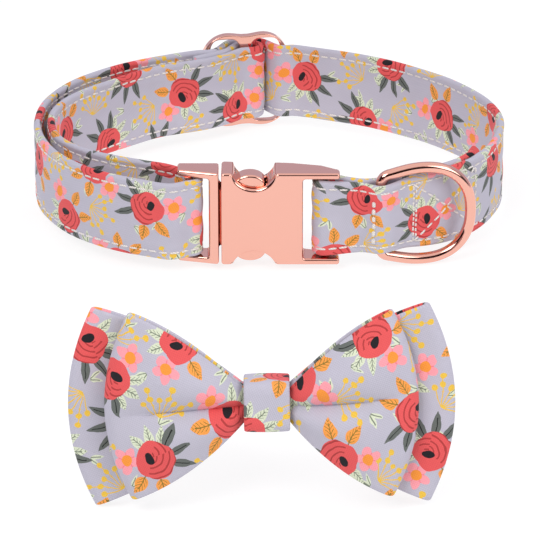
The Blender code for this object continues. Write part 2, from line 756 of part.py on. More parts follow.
def build_loop():
    """Make the elastic loop behind the knot, relaxed and almost flat.

    It is lower than the knot, and stretches over the collar's strap.
    """
    radius = (LOOP_SPACE + LOOP_BAND_THICK) / 2
    knot_back = knot_half_depth() * (1 + KNOT_BELLY) + KNOT_CLOTH / 2
    middle = knot_back + GAP + LOOP_BAND_THICK / 2 + radius
    turn = Vector((0.0, knot_half_height() * LOOP_SHARE - radius))
    line = arc(turn, radius, 0.0, 180.0, 8) + arc(-turn, radius, 180.0, 360.0, 8)
    place = (Matrix.Translation((0.0, middle, 0.0)) @ Matrix.Rotation(math.pi / 2, 4, "Z")
             @ Matrix.Rotation(math.pi / 2, 4, "X"))
    obj = ribbon("bow_loop", PIECES, line, LOOP_BAND_WIDTH, LOOP_BAND_THICK, True, place)
    finish(obj, ELASTIC, 80.0)
    return obj


def build_bow():
    """Build the bow tie round its own middle, then stand it on the floor."""
    offset = BOW_LAYER_HALF + GAP
    front = cloth_loop("bow_front", 44, 10,
                       bow_shape(BOW_FRONT_HALF_WIDTH, BOW_FRONT_HALF_HEIGHT, -offset,
                                 BOW_PUFF, 0.0), BOW_CLOTH)
    back = cloth_loop("bow_back", 44, 10,
                      bow_shape(BOW_BACK_HALF_WIDTH, BOW_BACK_HALF_HEIGHT, offset,
                                0.0, 0.75 * BOW_PUFF, BOW_BACK_DROP), BOW_CLOTH)
    for obj in (front, back):
        finish(obj, CLOTH, 80.0)
    pieces = (front, back, build_knot(), build_loop())

    lean = Matrix.Rotation(-BOW_LEAN, 4, "X") @ Matrix.Rotation(-BOW_TILT, 4, "Y")
    bpy.context.view_layer.update()
    graph = bpy.context.evaluated_depsgraph_get()
    lowest = min((lean @ obj.matrix_world @ vertex.co).z
                 for obj in pieces for vertex in obj.evaluated_get(graph).data.vertices)
    stand = bpy.data.objects.new("bow_stand", None)
    PIECES.objects.link(stand)
    stand.rotation_euler = lean.to_euler()
    stand.location = (BOW_PLACE_X, BOW_PLACE_Y, -lowest)
    for obj in pieces:
        obj.parent = stand


def centre_on_floor():
    """Shift everything so that the origin is under the middle of the whole box."""
    bpy.context.view_layer.update()
    graph = bpy.context.evaluated_depsgraph_get()
    corners = []
    for obj in PIECES.objects:
        if obj.type == "MESH":
            shape = obj.evaluated_get(graph)
            corners += [shape.matrix_world @ vertex.co for vertex in shape.data.vertices]
    low = Vector(min(corner[axis] for corner in corners) for axis in range(3))
    high = Vector(max(corner[axis] for corner in corners) for axis in range(3))
    shift = Vector((-(low.x + high.x) / 2, -(low.y + high.y) / 2, -low.z))
    for obj in list(PIECES.objects) + list(CUTTERS.objects):
        if obj.parent is None:
            obj.location += shift


clear_scene()
PIECES = new_collection("bow_tie_collar")
CUTTERS = new_collection("cutters")
CLOTH = material("printed_cotton", (0.55, 0.53, 0.61), 0.9, 0.0)
METAL = material("rose_gold_plate", (0.93, 0.52, 0.43), 0.15, 1.0)
ELASTIC = material("woven_elastic", (0.50, 0.48, 0.55), 0.85, 0.0)

build_strap()
build_socket()
build_plug()
build_ring()
build_slider()
build_bow()
centre_on_floor()
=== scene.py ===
"""Looks of a pet bow tie collar, built round its fixed frame.

A printed cotton strap stands as an oval loop, closed by a rose gold snap buckle
and carrying a leash ring and a slider. Its bow tie stands in front of it. Every
piece is a surface worked out in whole arrays, in metres, in the frame's own
space: +X to the viewer's right, +Y to the back of the neck, +Z up.

Points in plan are complex numbers: the real part is x and the imaginary part y.
"""

import json
import logging
import math
from dataclasses import dataclass, field
from enum import Enum
from functools import partial, reduce
from typing import Callable

import bmesh
import bpy
import numpy as np
from mathutils import Matrix, Vector


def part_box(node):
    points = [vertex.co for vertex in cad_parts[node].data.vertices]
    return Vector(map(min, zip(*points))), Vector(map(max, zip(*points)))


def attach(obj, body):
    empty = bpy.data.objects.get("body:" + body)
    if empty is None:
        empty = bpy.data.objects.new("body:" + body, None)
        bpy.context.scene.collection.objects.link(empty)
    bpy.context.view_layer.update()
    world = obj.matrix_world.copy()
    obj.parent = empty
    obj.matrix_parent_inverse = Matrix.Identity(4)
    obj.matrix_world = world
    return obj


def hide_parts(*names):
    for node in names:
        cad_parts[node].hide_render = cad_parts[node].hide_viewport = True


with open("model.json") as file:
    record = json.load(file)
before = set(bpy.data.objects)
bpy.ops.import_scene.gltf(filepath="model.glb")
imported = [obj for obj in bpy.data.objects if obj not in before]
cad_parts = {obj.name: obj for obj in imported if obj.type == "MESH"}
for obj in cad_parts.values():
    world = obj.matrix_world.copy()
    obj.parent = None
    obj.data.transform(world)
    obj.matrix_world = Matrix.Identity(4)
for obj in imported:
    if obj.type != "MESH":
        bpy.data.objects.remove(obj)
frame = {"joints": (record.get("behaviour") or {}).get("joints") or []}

MM = 0.001
# Points closer than this are one
WELD = 0.002 * MM
LOG = logging.getLogger("bow_tie_collar")

Array = np.ndarray
Feed = bpy.types.NodeSocket | float | tuple[float, ...] | None


class Body(Enum):
    """Bodies that a piece can ride on."""

    COLLAR = "collar"
    RING = "d_ring"


class Slot(Enum):
    """Material slots of the record, passed along with each piece but not read."""

    STRAP = "strap_cloth"
    BOW = "bow_cloth"
    ELASTIC = "elastic"
    METAL = "rose_gold_plate"


class Side(Enum):
    """Faces of the strap, by the sign of their distance from its middle."""

    OUTER = 1
    INNER = -1


def linear(code: str) -> tuple[float, float, float, float]:
    """Turn an sRGB colour to linear light.

    Args:
        code: hash sign and six hex digits.

    Returns:
        Red, green, blue and an alpha of 1.
    """
    parts = np.array([int(code[i:i + 2], 16) for i in (1, 3, 5)]) / 255
    light = np.where(parts <= 0.04045, parts / 12.92, ((parts + 0.055) / 1.055) ** 2.4)
    return (*light.tolist(), 1.0)


def add_node(tree: bpy.types.NodeTree, kind: str, *feeds: Feed, out: int = 0,
             **settings: object) -> bpy.types.NodeSocket:
    """Add a node with its settings, and feed its inputs.

    Args:
        tree: node tree that gets the node.
        kind: node type without its ShaderNode start.
        feeds: socket or value for each input in use, in order; None leaves it.
        out: place of the output to hand back, among those in use.
        settings: the node's properties by name.

    Returns:
        One output of the node.
    """
    made = tree.nodes.new(f"ShaderNode{kind}")
    for name, value in settings.items():
        setattr(made, name, value)
    for socket, feed in zip([s for s in made.inputs if s.enabled], feeds):
        if isinstance(feed, bpy.types.NodeSocket):
            tree.links.new(feed, socket)
        elif feed is not None:
            socket.default_value = feed
    return [s for s in made.outputs if s.enabled][out]


def new_material(name: str, look: dict[str, object]) -> tuple[bpy.types.Material, bpy.types.Node]:
    """Make a Principled material.

    Args:
        name: the material's name.
        look: value of each shader socket that is the same all over.

    Returns:
        The material and its shader node.
    """
    made = bpy.data.materials.new(name)
    made.use_nodes = True
    shader = made.node_tree.nodes["Principled BSDF"]
    for socket, value in look.items():
        shader.inputs[socket].default_value = value
    return made, shader


def calc(tree: bpy.types.NodeTree, operation: str, *feeds: Feed) -> Feed:
    """Add a node that works out a number."""
    return add_node(tree, "Math", *feeds, operation=operation)


def below(tree: bpy.types.NodeTree, value: Feed, limit: Feed) -> Feed:
    """Add a mask that is 1 where a value is less than a limit."""
    return calc(tree, "LESS_THAN", value, limit)


def product(tree: bpy.types.NodeTree, *factors: Feed) -> Feed:
    """Multiply numbers, or masks, which leaves the places that lie in all of them."""
    return reduce(partial(calc, tree, "MULTIPLY"), factors)


def vector(tree: bpy.types.NodeTree, operation: str, *feeds: Feed) -> Feed:
    """Add a node that works on places."""
    return add_node(tree, "VectorMath", *feeds, operation=operation)


def blend(tree: bpy.types.NodeTree, share: Feed, first: Feed, second: Feed) -> Feed:
    """Add a node that goes from one colour to another by a share or a mask."""
    return add_node(tree, "Mix", share, first, second, data_type="RGBA")


def emboss(tree: bpy.types.NodeTree, shader: bpy.types.Node, strength: float, depth: float,
           height: Feed) -> None:
    """Raise a material's surface by a height.

    Args:
        tree: the material's nodes.
        shader: its shader node.
        strength: share of the effect that shows.
        depth: the rise for a height of 1, in metres.
        height: the height.
    """
    normal = add_node(tree, "Bump", strength, depth, None, height)
    tree.links.new(normal, shader.inputs["Normal"])


def ridge(tree: bpy.types.NodeTree, shader: bpy.types.Node, place: Feed, dark: str, light: str,
          strength: float, depth: float) -> None:
    """Colour and raise a material's surface by the sine of a place across its ridges.

    Args:
        tree: the material's nodes.
        shader: its shader node.
        place: place across the ridges, in radians.
        dark: colour of the hollows, painted darker as shade.
        light: colour of the ridges.
        strength: share of the relief that shows.
        depth: the ridges' rise, in metres.
    """
    wave = calc(tree, "SINE", place)
    share = add_node(tree, "MapRange", wave, -1.0, 1.0, 0.0, 1.0)
    # Painted shade: the hollows take the darker colour
    colour = blend(tree, share, linear(dark), linear(light))
    tree.links.new(colour, shader.inputs["Base Color"])
    emboss(tree, shader, strength, depth, wave)


def power_wave(value: Array, power: float) -> Array:
    """Raise the size of each number to a power and keep its sign."""
    return np.sign(value) * np.abs(value) ** power


def superellipse(half_width: float, half_height: float, power: float, count: int) -> Array:
    """List points of a closed superellipse.

    x is the half width times the cosine to the power 2/n with its sign kept,
    and y the half height times the sine to the same power.

    Args:
        half_width: half size along x.
        half_height: half size along y.
        power: the n above: 2 is an ellipse, more is squarer.
        count: number of points.

    Returns:
        The points in plan.
    """
    at = 2 * np.pi * (np.arange(count) + 0.5) / count
    return (power_wave(np.cos(at), 2 / power) * half_width
            + 1j * power_wave(np.sin(at), 2 / power) * half_height)


def unit(vectors: Array) -> Array:
    """Bring vectors, in the last axis, to a length of 1."""
    return vectors / np.linalg.norm(vectors, axis=-1)[..., None]


def run_length(points: Array, axis: int = 0) -> Array:
    """Add up the lengths of the steps between points.

    Args:
        points: complex points, or points with their coordinates in the last axis.
        axis: direction to walk in.

    Returns:
        Length from the start to each point.
    """
    step = np.diff(points, axis=axis)
    step = np.abs(step) if np.iscomplexobj(points) else np.linalg.norm(step, axis=-1)
    pad = [(0, 0)] * step.ndim
    pad[axis] = (1, 0)
    return np.pad(np.cumsum(step, axis=axis), pad)


def grid_faces(rows: int, columns: int, close_rows: bool,
               close_columns: bool) -> tuple[Array, Array]:
    """List the quads of a grid.

    Args:
        rows: number of points in the first direction.
        columns: number of points in the second direction.
        close_rows: whether the last row joins the first.
        close_columns: whether the last column joins the first.

    Returns:
        Each quad's vertices, and its corners' places in a grid of corner values
        that has one more row or column where the grid closes.
    """
    tall = rows + close_rows
    wide = columns + close_columns
    corner = np.arange(tall * wide).reshape(tall, wide)
    vertex = (np.arange(tall) % rows)[:, None] * columns + np.arange(wide) % columns
    quads = []
    for grid in (vertex, corner):
        quads.append(np.stack([grid[:-1, :-1], grid[1:, :-1], grid[1:, 1:], grid[:-1, 1:]], -1))
    return quads[0].reshape(-1, 4), quads[1].reshape(-1, 4)


def mesh_object(name: str, points: Array, faces: list[list[int]],
                uv: Array | None = None) -> bpy.types.Object:
    """Put points and faces into a new object at the origin.

    Args:
        name: the object's name.
        points: place of each vertex.
        faces: vertices of each face.
        uv: place on the cloth of each face corner, in millimetres.

    Returns:
        The object, with smooth shading.
    """
    mesh = bpy.data.meshes.new(name)
    mesh.from_pydata(points.reshape(-1, 3).tolist(), [], faces)
    if uv is not None:
        layer = mesh.uv_layers.new(name="cloth")
        layer.uv.foreach_set("vector", np.ascontiguousarray(uv, dtype=np.float32).ravel())
    made = bpy.data.objects.new(name, mesh)
    bpy.context.scene.collection.objects.link(made)
    tidy_shell(made)
    mesh.shade_smooth()
    return made


def tidy_shell(obj: bpy.types.Object) -> None:
    """Merge a shell's doubled points and turn its faces outwards."""
    shell = bmesh.new()
    shell.from_mesh(obj.data)
    bmesh.ops.remove_doubles(shell, verts=shell.verts, dist=WELD)
    bmesh.ops.recalc_face_normals(shell, faces=shell.faces)
    shell.to_mesh(obj.data)
    shell.free()


def settle(obj: bpy.types.Object) -> None:
    """Keep an object's modified shape as its own mesh."""
    bpy.context.view_layer.update()
    graph = bpy.context.evaluated_depsgraph_get()
    obj.data = bpy.data.meshes.new_from_object(obj.evaluated_get(graph))
    obj.modifiers.clear()


def prism(name: str, outline: Array, low: float, high: float) -> bpy.types.Object:
    """Raise an outline in plan to a slab with a face below and one above.

    Args:
        name: the slab's name.
        outline: points in plan.
        low: height of the lower face.
        high: height of the upper face.

    Returns:
        The slab.
    """
    count = len(outline)
    plan = np.stack([outline.real, outline.imag], 1)
    points = np.vstack([np.column_stack([plan, np.full(count, z)]) for z in (low, high)])
    sides, _ = grid_faces(2, count, False, True)
    caps = [list(range(count)), list(range(2 * count - 1, count - 1, -1))]
    return mesh_object(name, points, sides.tolist() + caps)


def turn_to_front(obj: bpy.types.Object) -> None:
    """Turn a slab drawn in plan so that its plan's y points up and its top faces +Y."""
    obj.data.transform(Matrix(((1, 0, 0, 0), (0, 0, 1, 0), (0, 1, 0, 0), (0, 0, 0, 1))))
    obj.data.flip_normals()


def combine(obj: bpy.types.Object, tool: bpy.types.Object, operation: str = "DIFFERENCE") -> None:
    """Cut a tool out of an object, or join it, and take the tool away.

    Args:
        obj: the piece being made.
        tool: closed shape that is used up.
        operation: DIFFERENCE to cut, UNION to join.
    """
    change = obj.modifiers.new("combine", "BOOLEAN")
    change.operation = operation
    change.object = tool
    change.solver = "EXACT"
    settle(obj)
    bpy.data.objects.remove(tool, do_unlink=True)


def soften(obj: bpy.types.Object, width: float, segments: int = 3, angle: float = 32.0,
           clamp: bool = False) -> None:
    """Round a metal piece's edges and keep its faces looking flat.

    Args:
        obj: the piece.
        width: how far from the edge the rounding starts.
        segments: steps in the rounding.
        angle: smallest angle between faces that is rounded, in degrees.
        clamp: whether the rounding narrows where edges are short; if not, flat
            faces that a cut split are joined first.
    """
    if not clamp:
        shell = bmesh.new()
        shell.from_mesh(obj.data)
        bmesh.ops.remove_doubles(shell, verts=shell.verts, dist=10 * WELD)
        bmesh.ops.dissolve_limit(shell, angle_limit=math.radians(0.5), verts=shell.verts,
                                 edges=shell.edges)
        shell.to_mesh(obj.data)
        shell.free()
    bevel = obj.modifiers.new("edges", "BEVEL")
    bevel.width = width
    bevel.use_clamp_overlap = clamp
    bevel.segments = segments
    bevel.limit_method = "ANGLE"
    bevel.angle_limit = math.radians(angle)
    bevel.miter_outer = "MITER_ARC"
    settle(obj)
    obj.data.shade_smooth()
    normals = obj.modifiers.new("normals", "WEIGHTED_NORMAL")
    normals.keep_sharp = True


def dress(obj: bpy.types.Object, finish: bpy.types.Material, body: Body, slot: Slot,
          replaces: str | None = None) -> None:
    """Give a piece its material, its body and the node that it stands for.

    Args:
        obj: the piece.
        finish: its material.
        body: the body that it rides on.
        slot: the record's slot of its finish; not used.
        replaces: name of the plain solid that it stands for, if any.
    """
    obj.data.materials.clear()
    obj.data.materials.append(finish)
    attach(obj, body.value)
    if replaces is not None:
        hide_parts(replaces)
    LOG.info("%s: %d faces, %s", obj.name, len(obj.data.polygons), finish.name)


@dataclass(frozen=True)
class Lattice:
    """Turned squares that the cloth is split into, each with one motif.

    The side of a square and the largest shift of its motif are in millimetres, the
    turn is in radians, and the shift of the whole lattice is in squares.
    """

    cell: float
    turn: float
    shift: float
    jitter: float


@dataclass(frozen=True)
class Leaves:
    """Printed leaves that fan out from the middle of a spray.

    Lengths are in millimetres and angles in degrees. A barb ends at a share of the
    leaf's half width, and the midrib at a share of its length. The midrib's and the
    stem's lines are half widths of ink, the barb's is a whole one.
    """

    turn: float
    spread: float
    count: int
    foot: float
    tip: float
    half_width: float
    fill: str
    vein: str
    barb_step: float = 1.1
    barb_slant: float = 1.3
    barb_line: float = 0.22
    barb_end: float = 0.62
    rib_line: float = 0.13
    rib_end: float = 0.75
    stem_line: float = 0.17
    stem_start: float = 0.5
    stem_lap: float = 0.3
    fullness: float = 2.6


@dataclass(frozen=True)
class Blossom:
    """Printed open flower: scalloped petals with brushed strokes and an eye.

    The place, the radius and the width of a crease are in millimetres. The notch,
    the eye's two radii, its shift, and the width, the spacing and the swirl of the
    strokes are shares of the radius.
    """

    place: tuple[float, float]
    radius: float
    petals: int
    notch: float
    eye: tuple[float, float]
    fill: str
    line: str
    centre: str
    eye_shift: float = 0.0
    stroke: float = 0.0
    crease: float = 0.0
    stroke_step: float = 0.29
    swirl: float = 0.12


@dataclass(frozen=True)
class Umbel:
    """Printed umbel: thin stems that fan out from a foot and bear round berries.

    Every other stem is longer by the extra. Berries stand two half steps apart, from
    the bare part of a stem to a lap past its end. The foot is its distance from the
    motif's middle. Lengths are in millimetres, the spread between stems in degrees.
    """

    foot: float = 5.4
    spread: float = 21.0
    count: int = 7
    reach: float = 5.9
    extra: float = 3.1
    radius: float = 0.8
    half_step: float = 1.25
    bare: float = 4.6
    lap: float = 1.0
    stem_line: float = 0.15
    fill: str = "#EDC24A"


@dataclass(frozen=True)
class PrintedCotton:
    """Cotton poplin, plain woven and screen printed with a ditsy floral.

    Gives the eye a matt ground with a fine thread texture and dye speckle, painted darker as
    shade where the weave lies low, soft sheen at grazing angles and flat opaque inks. Sprays
    stand on a square lattice turned across the cloth; umbels fill the places between them,
    and sprigs lie under both.
    """

    ground: str = "#BDBAC8"
    wobble: float = 0.45
    thread: float = 0.75
    thread_turn: float = 0.35
    spray_lattice: Lattice = Lattice(23.0, 0.47, 0.0, 2.4)
    umbel_lattice: Lattice = Lattice(23.0, 0.47, 0.5, 1.5)
    sprig_lattice: Lattice = Lattice(9.5, 1.1, 0.3, 3.0)
    sprig_share: float = 0.42
    umbel: Umbel = Umbel()
    sprig: Leaves = Leaves(turn=0.0, spread=44.0, count=2, foot=0.4, tip=4.2, half_width=0.62,
                           fill="#D9E0C6", vein="#7C8574", barb_step=30.0)
    leaves: tuple[Leaves, ...] = (
        Leaves(turn=100.0, spread=30.0, count=3, foot=4.4, tip=9.6, half_width=1.35,
               fill="#D9E0C6", vein="#7C8574"),
        Leaves(turn=-58.0, spread=46.0, count=2, foot=5.6, tip=11.0, half_width=1.75,
               fill="#F5A04C", vein="#8A7430"),
        Leaves(turn=178.0, spread=34.0, count=3, foot=4.4, tip=11.2, half_width=1.2,
               fill="#666B67", vein="#252826", barb_step=30.0))
    blossoms: tuple[Blossom, ...] = (
        Blossom(place=(7.3, 3.2), radius=3.9, petals=5, notch=0.42, eye=(0.38, 0.42),
                fill="#F9A0AA", line="#F4838F", centre="#F7983C", crease=0.4),
        Blossom(place=(0.0, 0.0), radius=5.5, petals=4, notch=0.09, eye=(0.2, 0.32),
                fill="#E4595A", line="#B23C3C", centre="#1D1A1F", eye_shift=0.2, stroke=0.075))

    def build(self) -> bpy.types.Material:
        """Make the material.

        Returns:
            The printed cotton.
        """
        made, shader = new_material("printed_cotton", {
            "Roughness": 0.82, "Specular IOR Level": 0.3, "Sheen Weight": 0.12,
            "Sheen Roughness": 0.45})
        tree = made.node_tree
        cloth = add_node(tree, "UVMap", uv_map="cloth")
        drawn = self.hand_drawn(tree, cloth)
        colour = self.sprigs(tree, drawn, linear(self.ground))
        colour = self.umbels(tree, drawn, colour)
        colour = self.sprays(tree, drawn, colour)
        colour = self.threads(tree, cloth, colour, shader)
        tree.links.new(colour, shader.inputs["Base Color"])
        return made

    def hand_drawn(self, tree: bpy.types.NodeTree, cloth: Feed) -> Feed:
        """Shift the places a little by a slow noise, so that outlines look drawn."""
        noise = add_node(tree, "TexNoise", cloth, 0.18, 2.0, out=1, noise_dimensions="2D")
        centred = vector(tree, "SUBTRACT", noise, (0.5, 0.5, 0.5))
        shift = vector(tree, "MULTIPLY", centred, (3 * self.wobble,) * 3)
        return vector(tree, "ADD", cloth, shift)

    def lattice(self, tree: bpy.types.NodeTree, cloth: Feed, plan: Lattice) -> tuple[Feed, Feed]:
        """Split the cloth into turned squares, each with its own random turn.

        Args:
            tree: the material's nodes.
            cloth: place on the cloth.
            plan: the squares.

        Returns:
            Place in the square measured from its motif's middle, and a random colour.
        """
        place = add_node(tree, "Mapping", cloth, (plan.shift, plan.shift, 0.0),
                         (0.0, 0.0, plan.turn), (1 / plan.cell, 1 / plan.cell, 1.0))
        square, inside = (vector(tree, part, place) for part in ("FLOOR", "FRACTION"))
        chance = add_node(tree, "TexWhiteNoise", square, out=1, noise_dimensions="2D")
        value = add_node(tree, "TexWhiteNoise", square, noise_dimensions="2D")
        jitter = plan.jitter / plan.cell
        middle = 0.5 + 0.5 * jitter
        moved = vector(tree, "MULTIPLY_ADD", chance, (jitter,) * 3, inside)
        local = vector(tree, "SUBTRACT", moved, (middle, middle, 0.0))
        local = vector(tree, "MULTIPLY", local, (plan.cell, plan.cell, 0.0))
        angle = calc(tree, "MULTIPLY", value, math.tau)
        turned = add_node(tree, "VectorRotate", local, (0.0, 0.0, 0.0), angle,
                          rotation_type="Z_AXIS")
        return turned, chance

    def polar(self, tree: bpy.types.NodeTree, local: Feed) -> tuple[Feed, Feed]:
        """Give the distance and the angle of a place."""
        x, y = (add_node(tree, "SeparateXYZ", local, out=axis) for axis in (0, 1))
        return vector(tree, "LENGTH", local), calc(tree, "ARCTAN2", y, x)

    def fan(self, tree: bpy.types.NodeTree, distance: Feed, angle: Feed, turn: float,
            spread: float, count: int) -> tuple[Feed, Feed, Feed, Feed]:
        """Fold the plane so that each of a fan's rays lies along one axis.

        Args:
            tree: the material's nodes.
            distance: distance from the fan's middle.
            angle: angle round it.
            turn: direction of the fan, degrees.
            spread: angle between its rays, degrees.
            count: number of rays.

        Returns:
            Place along the ray, place across it, whether it is inside the fan, and
            the angle from the fan's first edge.
        """
        step = math.radians(spread)
        start = math.radians(turn) - step * count / 2
        ahead = calc(tree, "WRAP", calc(tree, "SUBTRACT", angle, start), math.tau, 0.0)
        folded = calc(tree, "SUBTRACT", calc(tree, "WRAP", ahead, step, 0.0), step / 2)
        along, across = (product(tree, distance, calc(tree, wave, folded))
                         for wave in ("COSINE", "SINE"))
        return along, calc(tree, "ABSOLUTE", across), below(tree, ahead, step * count), ahead

    def leaf_masks(self, tree: bpy.types.NodeTree, distance: Feed, angle: Feed,
                   fan: Leaves) -> tuple[Feed, Feed]:
        """Draw a fan of leaves.

        A leaf's half width is its largest one times fullness √t (1 − t), where t
        runs from 0 at its foot to 1 at its tip. Its veins are a midrib, and barbs
        where the place along it, less the place across, has just passed a whole step.

        Args:
            tree: the material's nodes.
            distance: distance from the spray's middle, mm.
            angle: angle round it.
            fan: the leaves.

        Returns:
            Mask of the leaves and mask of their veins and stems.
        """
        along, across, inside, _ = self.fan(tree, distance, angle, fan.turn, fan.spread,
                                            fan.count)
        reach = fan.tip - fan.foot
        share = calc(tree, "MULTIPLY_ADD", along, 1 / reach, -fan.foot / reach)
        edge = product(tree, calc(tree, "SQRT", share), calc(tree, "SUBTRACT", 1.0, share),
                       fan.fullness * fan.half_width)
        leaf = product(tree, below(tree, across, edge), inside)

        slant = calc(tree, "MULTIPLY_ADD", across, -fan.barb_slant, along)
        barb = product(tree,
                       below(tree, calc(tree, "WRAP", slant, fan.barb_step, 0.0), fan.barb_line),
                       below(tree, across, fan.barb_end * fan.half_width))
        rib = product(tree, below(tree, across, fan.rib_line), below(tree, share, fan.rib_end))
        veins = product(tree, calc(tree, "MAXIMUM", rib, barb), leaf)
        stem = product(tree, below(tree, across, fan.stem_line),
                       below(tree, along, fan.foot + fan.stem_lap),
                       calc(tree, "GREATER_THAN", along, fan.stem_start), inside)
        return leaf, calc(tree, "MAXIMUM", veins, stem)

    def blossom_masks(self, tree: bpy.types.NodeTree, local: Feed,
                      bloom: Blossom) -> tuple[Feed, Feed, Feed]:
        """Draw an open flower.

        The outline's radius is the flower's times 1 − notch (1 − |cos(n a / 2)|)
        for n petals, at angle a. The eye is an oval set off to one side. Strokes are
        arcs round it on its other side, and creases are lines where petals meet.

        Args:
            tree: the material's nodes.
            local: place in the spray, mm.
            bloom: the flower.

        Returns:
            Masks of the petals, of the strokes and of the eye.
        """
        inside = vector(tree, "SUBTRACT", local, (*bloom.place, 0.0))
        distance, angle = self.polar(tree, inside)
        wave = calc(tree, "COSINE", product(tree, angle, bloom.petals / 2))
        wave = calc(tree, "ABSOLUTE", wave)
        edge = calc(tree, "MULTIPLY_ADD", wave, bloom.notch * bloom.radius,
                    (1 - bloom.notch) * bloom.radius)
        petals = below(tree, calc(tree, "DIVIDE", distance, edge), 1.0)

        shift = bloom.eye_shift * bloom.radius
        from_eye = vector(tree, "SUBTRACT", inside, (shift, shift, 0.0))
        oval = tuple(1 / (size * bloom.radius) for size in bloom.eye)
        eye = vector(tree, "LENGTH", vector(tree, "MULTIPLY", from_eye, (*oval, 0.0)))

        away, turn = self.polar(tree, from_eye)
        swirl = calc(tree, "MULTIPLY_ADD", turn, bloom.swirl * bloom.radius, away)
        ring = calc(tree, "WRAP", swirl, bloom.stroke_step * bloom.radius, 0.0)
        behind = vector(tree, "DOT_PRODUCT", from_eye, (-1.0, -0.7, 0.0))
        ring = product(tree, below(tree, ring, bloom.stroke * bloom.radius),
                       calc(tree, "GREATER_THAN", behind, 0.5))
        crease = below(tree, product(tree, wave, distance), bloom.crease)
        lines = product(tree, calc(tree, "MAXIMUM", ring, crease), petals)
        return petals, lines, below(tree, eye, 1.0)

    def sprays(self, tree: bpy.types.NodeTree, cloth: Feed, under: Feed) -> Feed:
        """Paint the sprays: leaves first, then the flowers over them."""
        local, _ = self.lattice(tree, cloth, self.spray_lattice)
        distance, angle = self.polar(tree, local)
        prints = []
        for fan in self.leaves:
            prints += zip(self.leaf_masks(tree, distance, angle, fan), (fan.fill, fan.vein))
        for bloom in self.blossoms:
            inks = (bloom.fill, bloom.line, bloom.centre)
            prints += zip(self.blossom_masks(tree, local, bloom), inks)
        for mask, ink in prints:
            under = blend(tree, mask, under, linear(ink))
        return under

    def umbels(self, tree: bpy.types.NodeTree, cloth: Feed, under: Feed) -> Feed:
        """Paint the umbels: a long stem bears two berries in a row, a short one bears one."""
        umbel = self.umbel
        local, _ = self.lattice(tree, cloth, self.umbel_lattice)
        based = vector(tree, "ADD", local, (umbel.foot, 0.0, 0.0))
        distance, angle = self.polar(tree, based)
        along, across, inside, ahead = self.fan(tree, distance, angle, 0.0, umbel.spread,
                                                umbel.count)
        ray = calc(tree, "FLOOR", product(tree, ahead, 1 / math.radians(umbel.spread)))
        odd = calc(tree, "PINGPONG", ray, 1.0)
        reach = calc(tree, "MULTIPLY_ADD", odd, umbel.extra, umbel.reach)
        past = calc(tree, "SUBTRACT", along, reach)
        row = calc(tree, "WRAP", past, umbel.half_step, -umbel.half_step)
        away = vector(tree, "LENGTH", add_node(tree, "CombineXYZ", row, across, 0.0))
        berries = product(tree, below(tree, away, umbel.radius),
                          calc(tree, "GREATER_THAN", along, umbel.bare),
                          below(tree, past, umbel.lap))
        stem = product(tree, below(tree, across, umbel.stem_line), below(tree, past, 0.0))
        mask = product(tree, calc(tree, "MAXIMUM", berries, stem), inside)
        return blend(tree, mask, under, linear(umbel.fill))

    def sprigs(self, tree: bpy.types.NodeTree, cloth: Feed, under: Feed) -> Feed:
        """Paint small pale sprigs in a share of their squares, under everything else."""
        local, chance = self.lattice(tree, cloth, self.sprig_lattice)
        chosen = below(tree, add_node(tree, "SeparateColor", chance, out=2), self.sprig_share)
        masks = self.leaf_masks(tree, *self.polar(tree, local), self.sprig)
        for mask, ink in zip(masks, (self.sprig.fill, self.sprig.vein)):
            under = blend(tree, product(tree, mask, chosen), under, linear(ink))
        return under

    def threads(self, tree: bpy.types.NodeTree, cloth: Feed, colour: Feed,
                shader: bpy.types.Node) -> Feed:
        """Weave the threads into the colour and the surface.

        The weave's height is the product of a sine along the cloth and a sine
        across it. Real poplin has a thread each 0.25 mm, too fine to show, so it
        is drawn three times as coarse. Uneven threads vary the height a little. The
        colour is painted darker as shade where the weave lies low, and dye varies it a little.
        """
        turned = add_node(tree, "Mapping", cloth, None, (0.0, 0.0, self.thread_turn),
                          (math.tau / self.thread, math.tau / self.thread, 1.0))
        weave = product(tree, *(calc(tree, "SINE", add_node(tree, "SeparateXYZ", turned, out=axis))
                                for axis in (0, 1)))
        slub = add_node(tree, "TexNoise", cloth, 1.6, 3.0, 0.6, noise_dimensions="2D")
        height = calc(tree, "MULTIPLY_ADD", slub, 0.9, weave)
        emboss(tree, shader, 0.35, 0.05 * MM, height)
        dye = add_node(tree, "TexNoise", cloth, 0.09, 2.0, noise_dimensions="2D")
        # Painted shade where the weave lies low, plus real dye tone from the slow noise
        weave_shade_and_dye = calc(tree, "MULTIPLY_ADD", height, 0.055, 0.94)
        weave_shade_and_dye = calc(tree, "MULTIPLY_ADD", dye, 0.08, weave_shade_and_dye)
        return vector(tree, "SCALE", colour, weave_shade_and_dye)


@dataclass(frozen=True)
class RoseGoldPlate:
    """Zinc die casting, polished and plated with rose gold.

    Gives the eye a warm pink mirror, a little blurred, with very faint polishing
    unevenness.
    """

    colour: str = "#F2B6A5"
    roughness: tuple[float, float] = (0.07, 0.14)

    def build(self) -> bpy.types.Material:
        """Make the material."""
        made, shader = new_material("rose_gold_plating", {
            "Base Color": linear(self.colour), "Metallic": 1.0})
        tree = made.node_tree
        place = add_node(tree, "TexCoord", out=3)
        cloud = add_node(tree, "TexNoise", place, 0.12 / MM, 3.0, 0.6)
        rough = add_node(tree, "MapRange", cloud, 0.3, 0.7, *self.roughness)
        tree.links.new(rough, shader.inputs["Roughness"])
        peel = add_node(tree, "TexNoise", place, 0.5 / MM, 2.0, 0.5)
        emboss(tree, shader, 0.06, 0.05 * MM, peel)
        return made


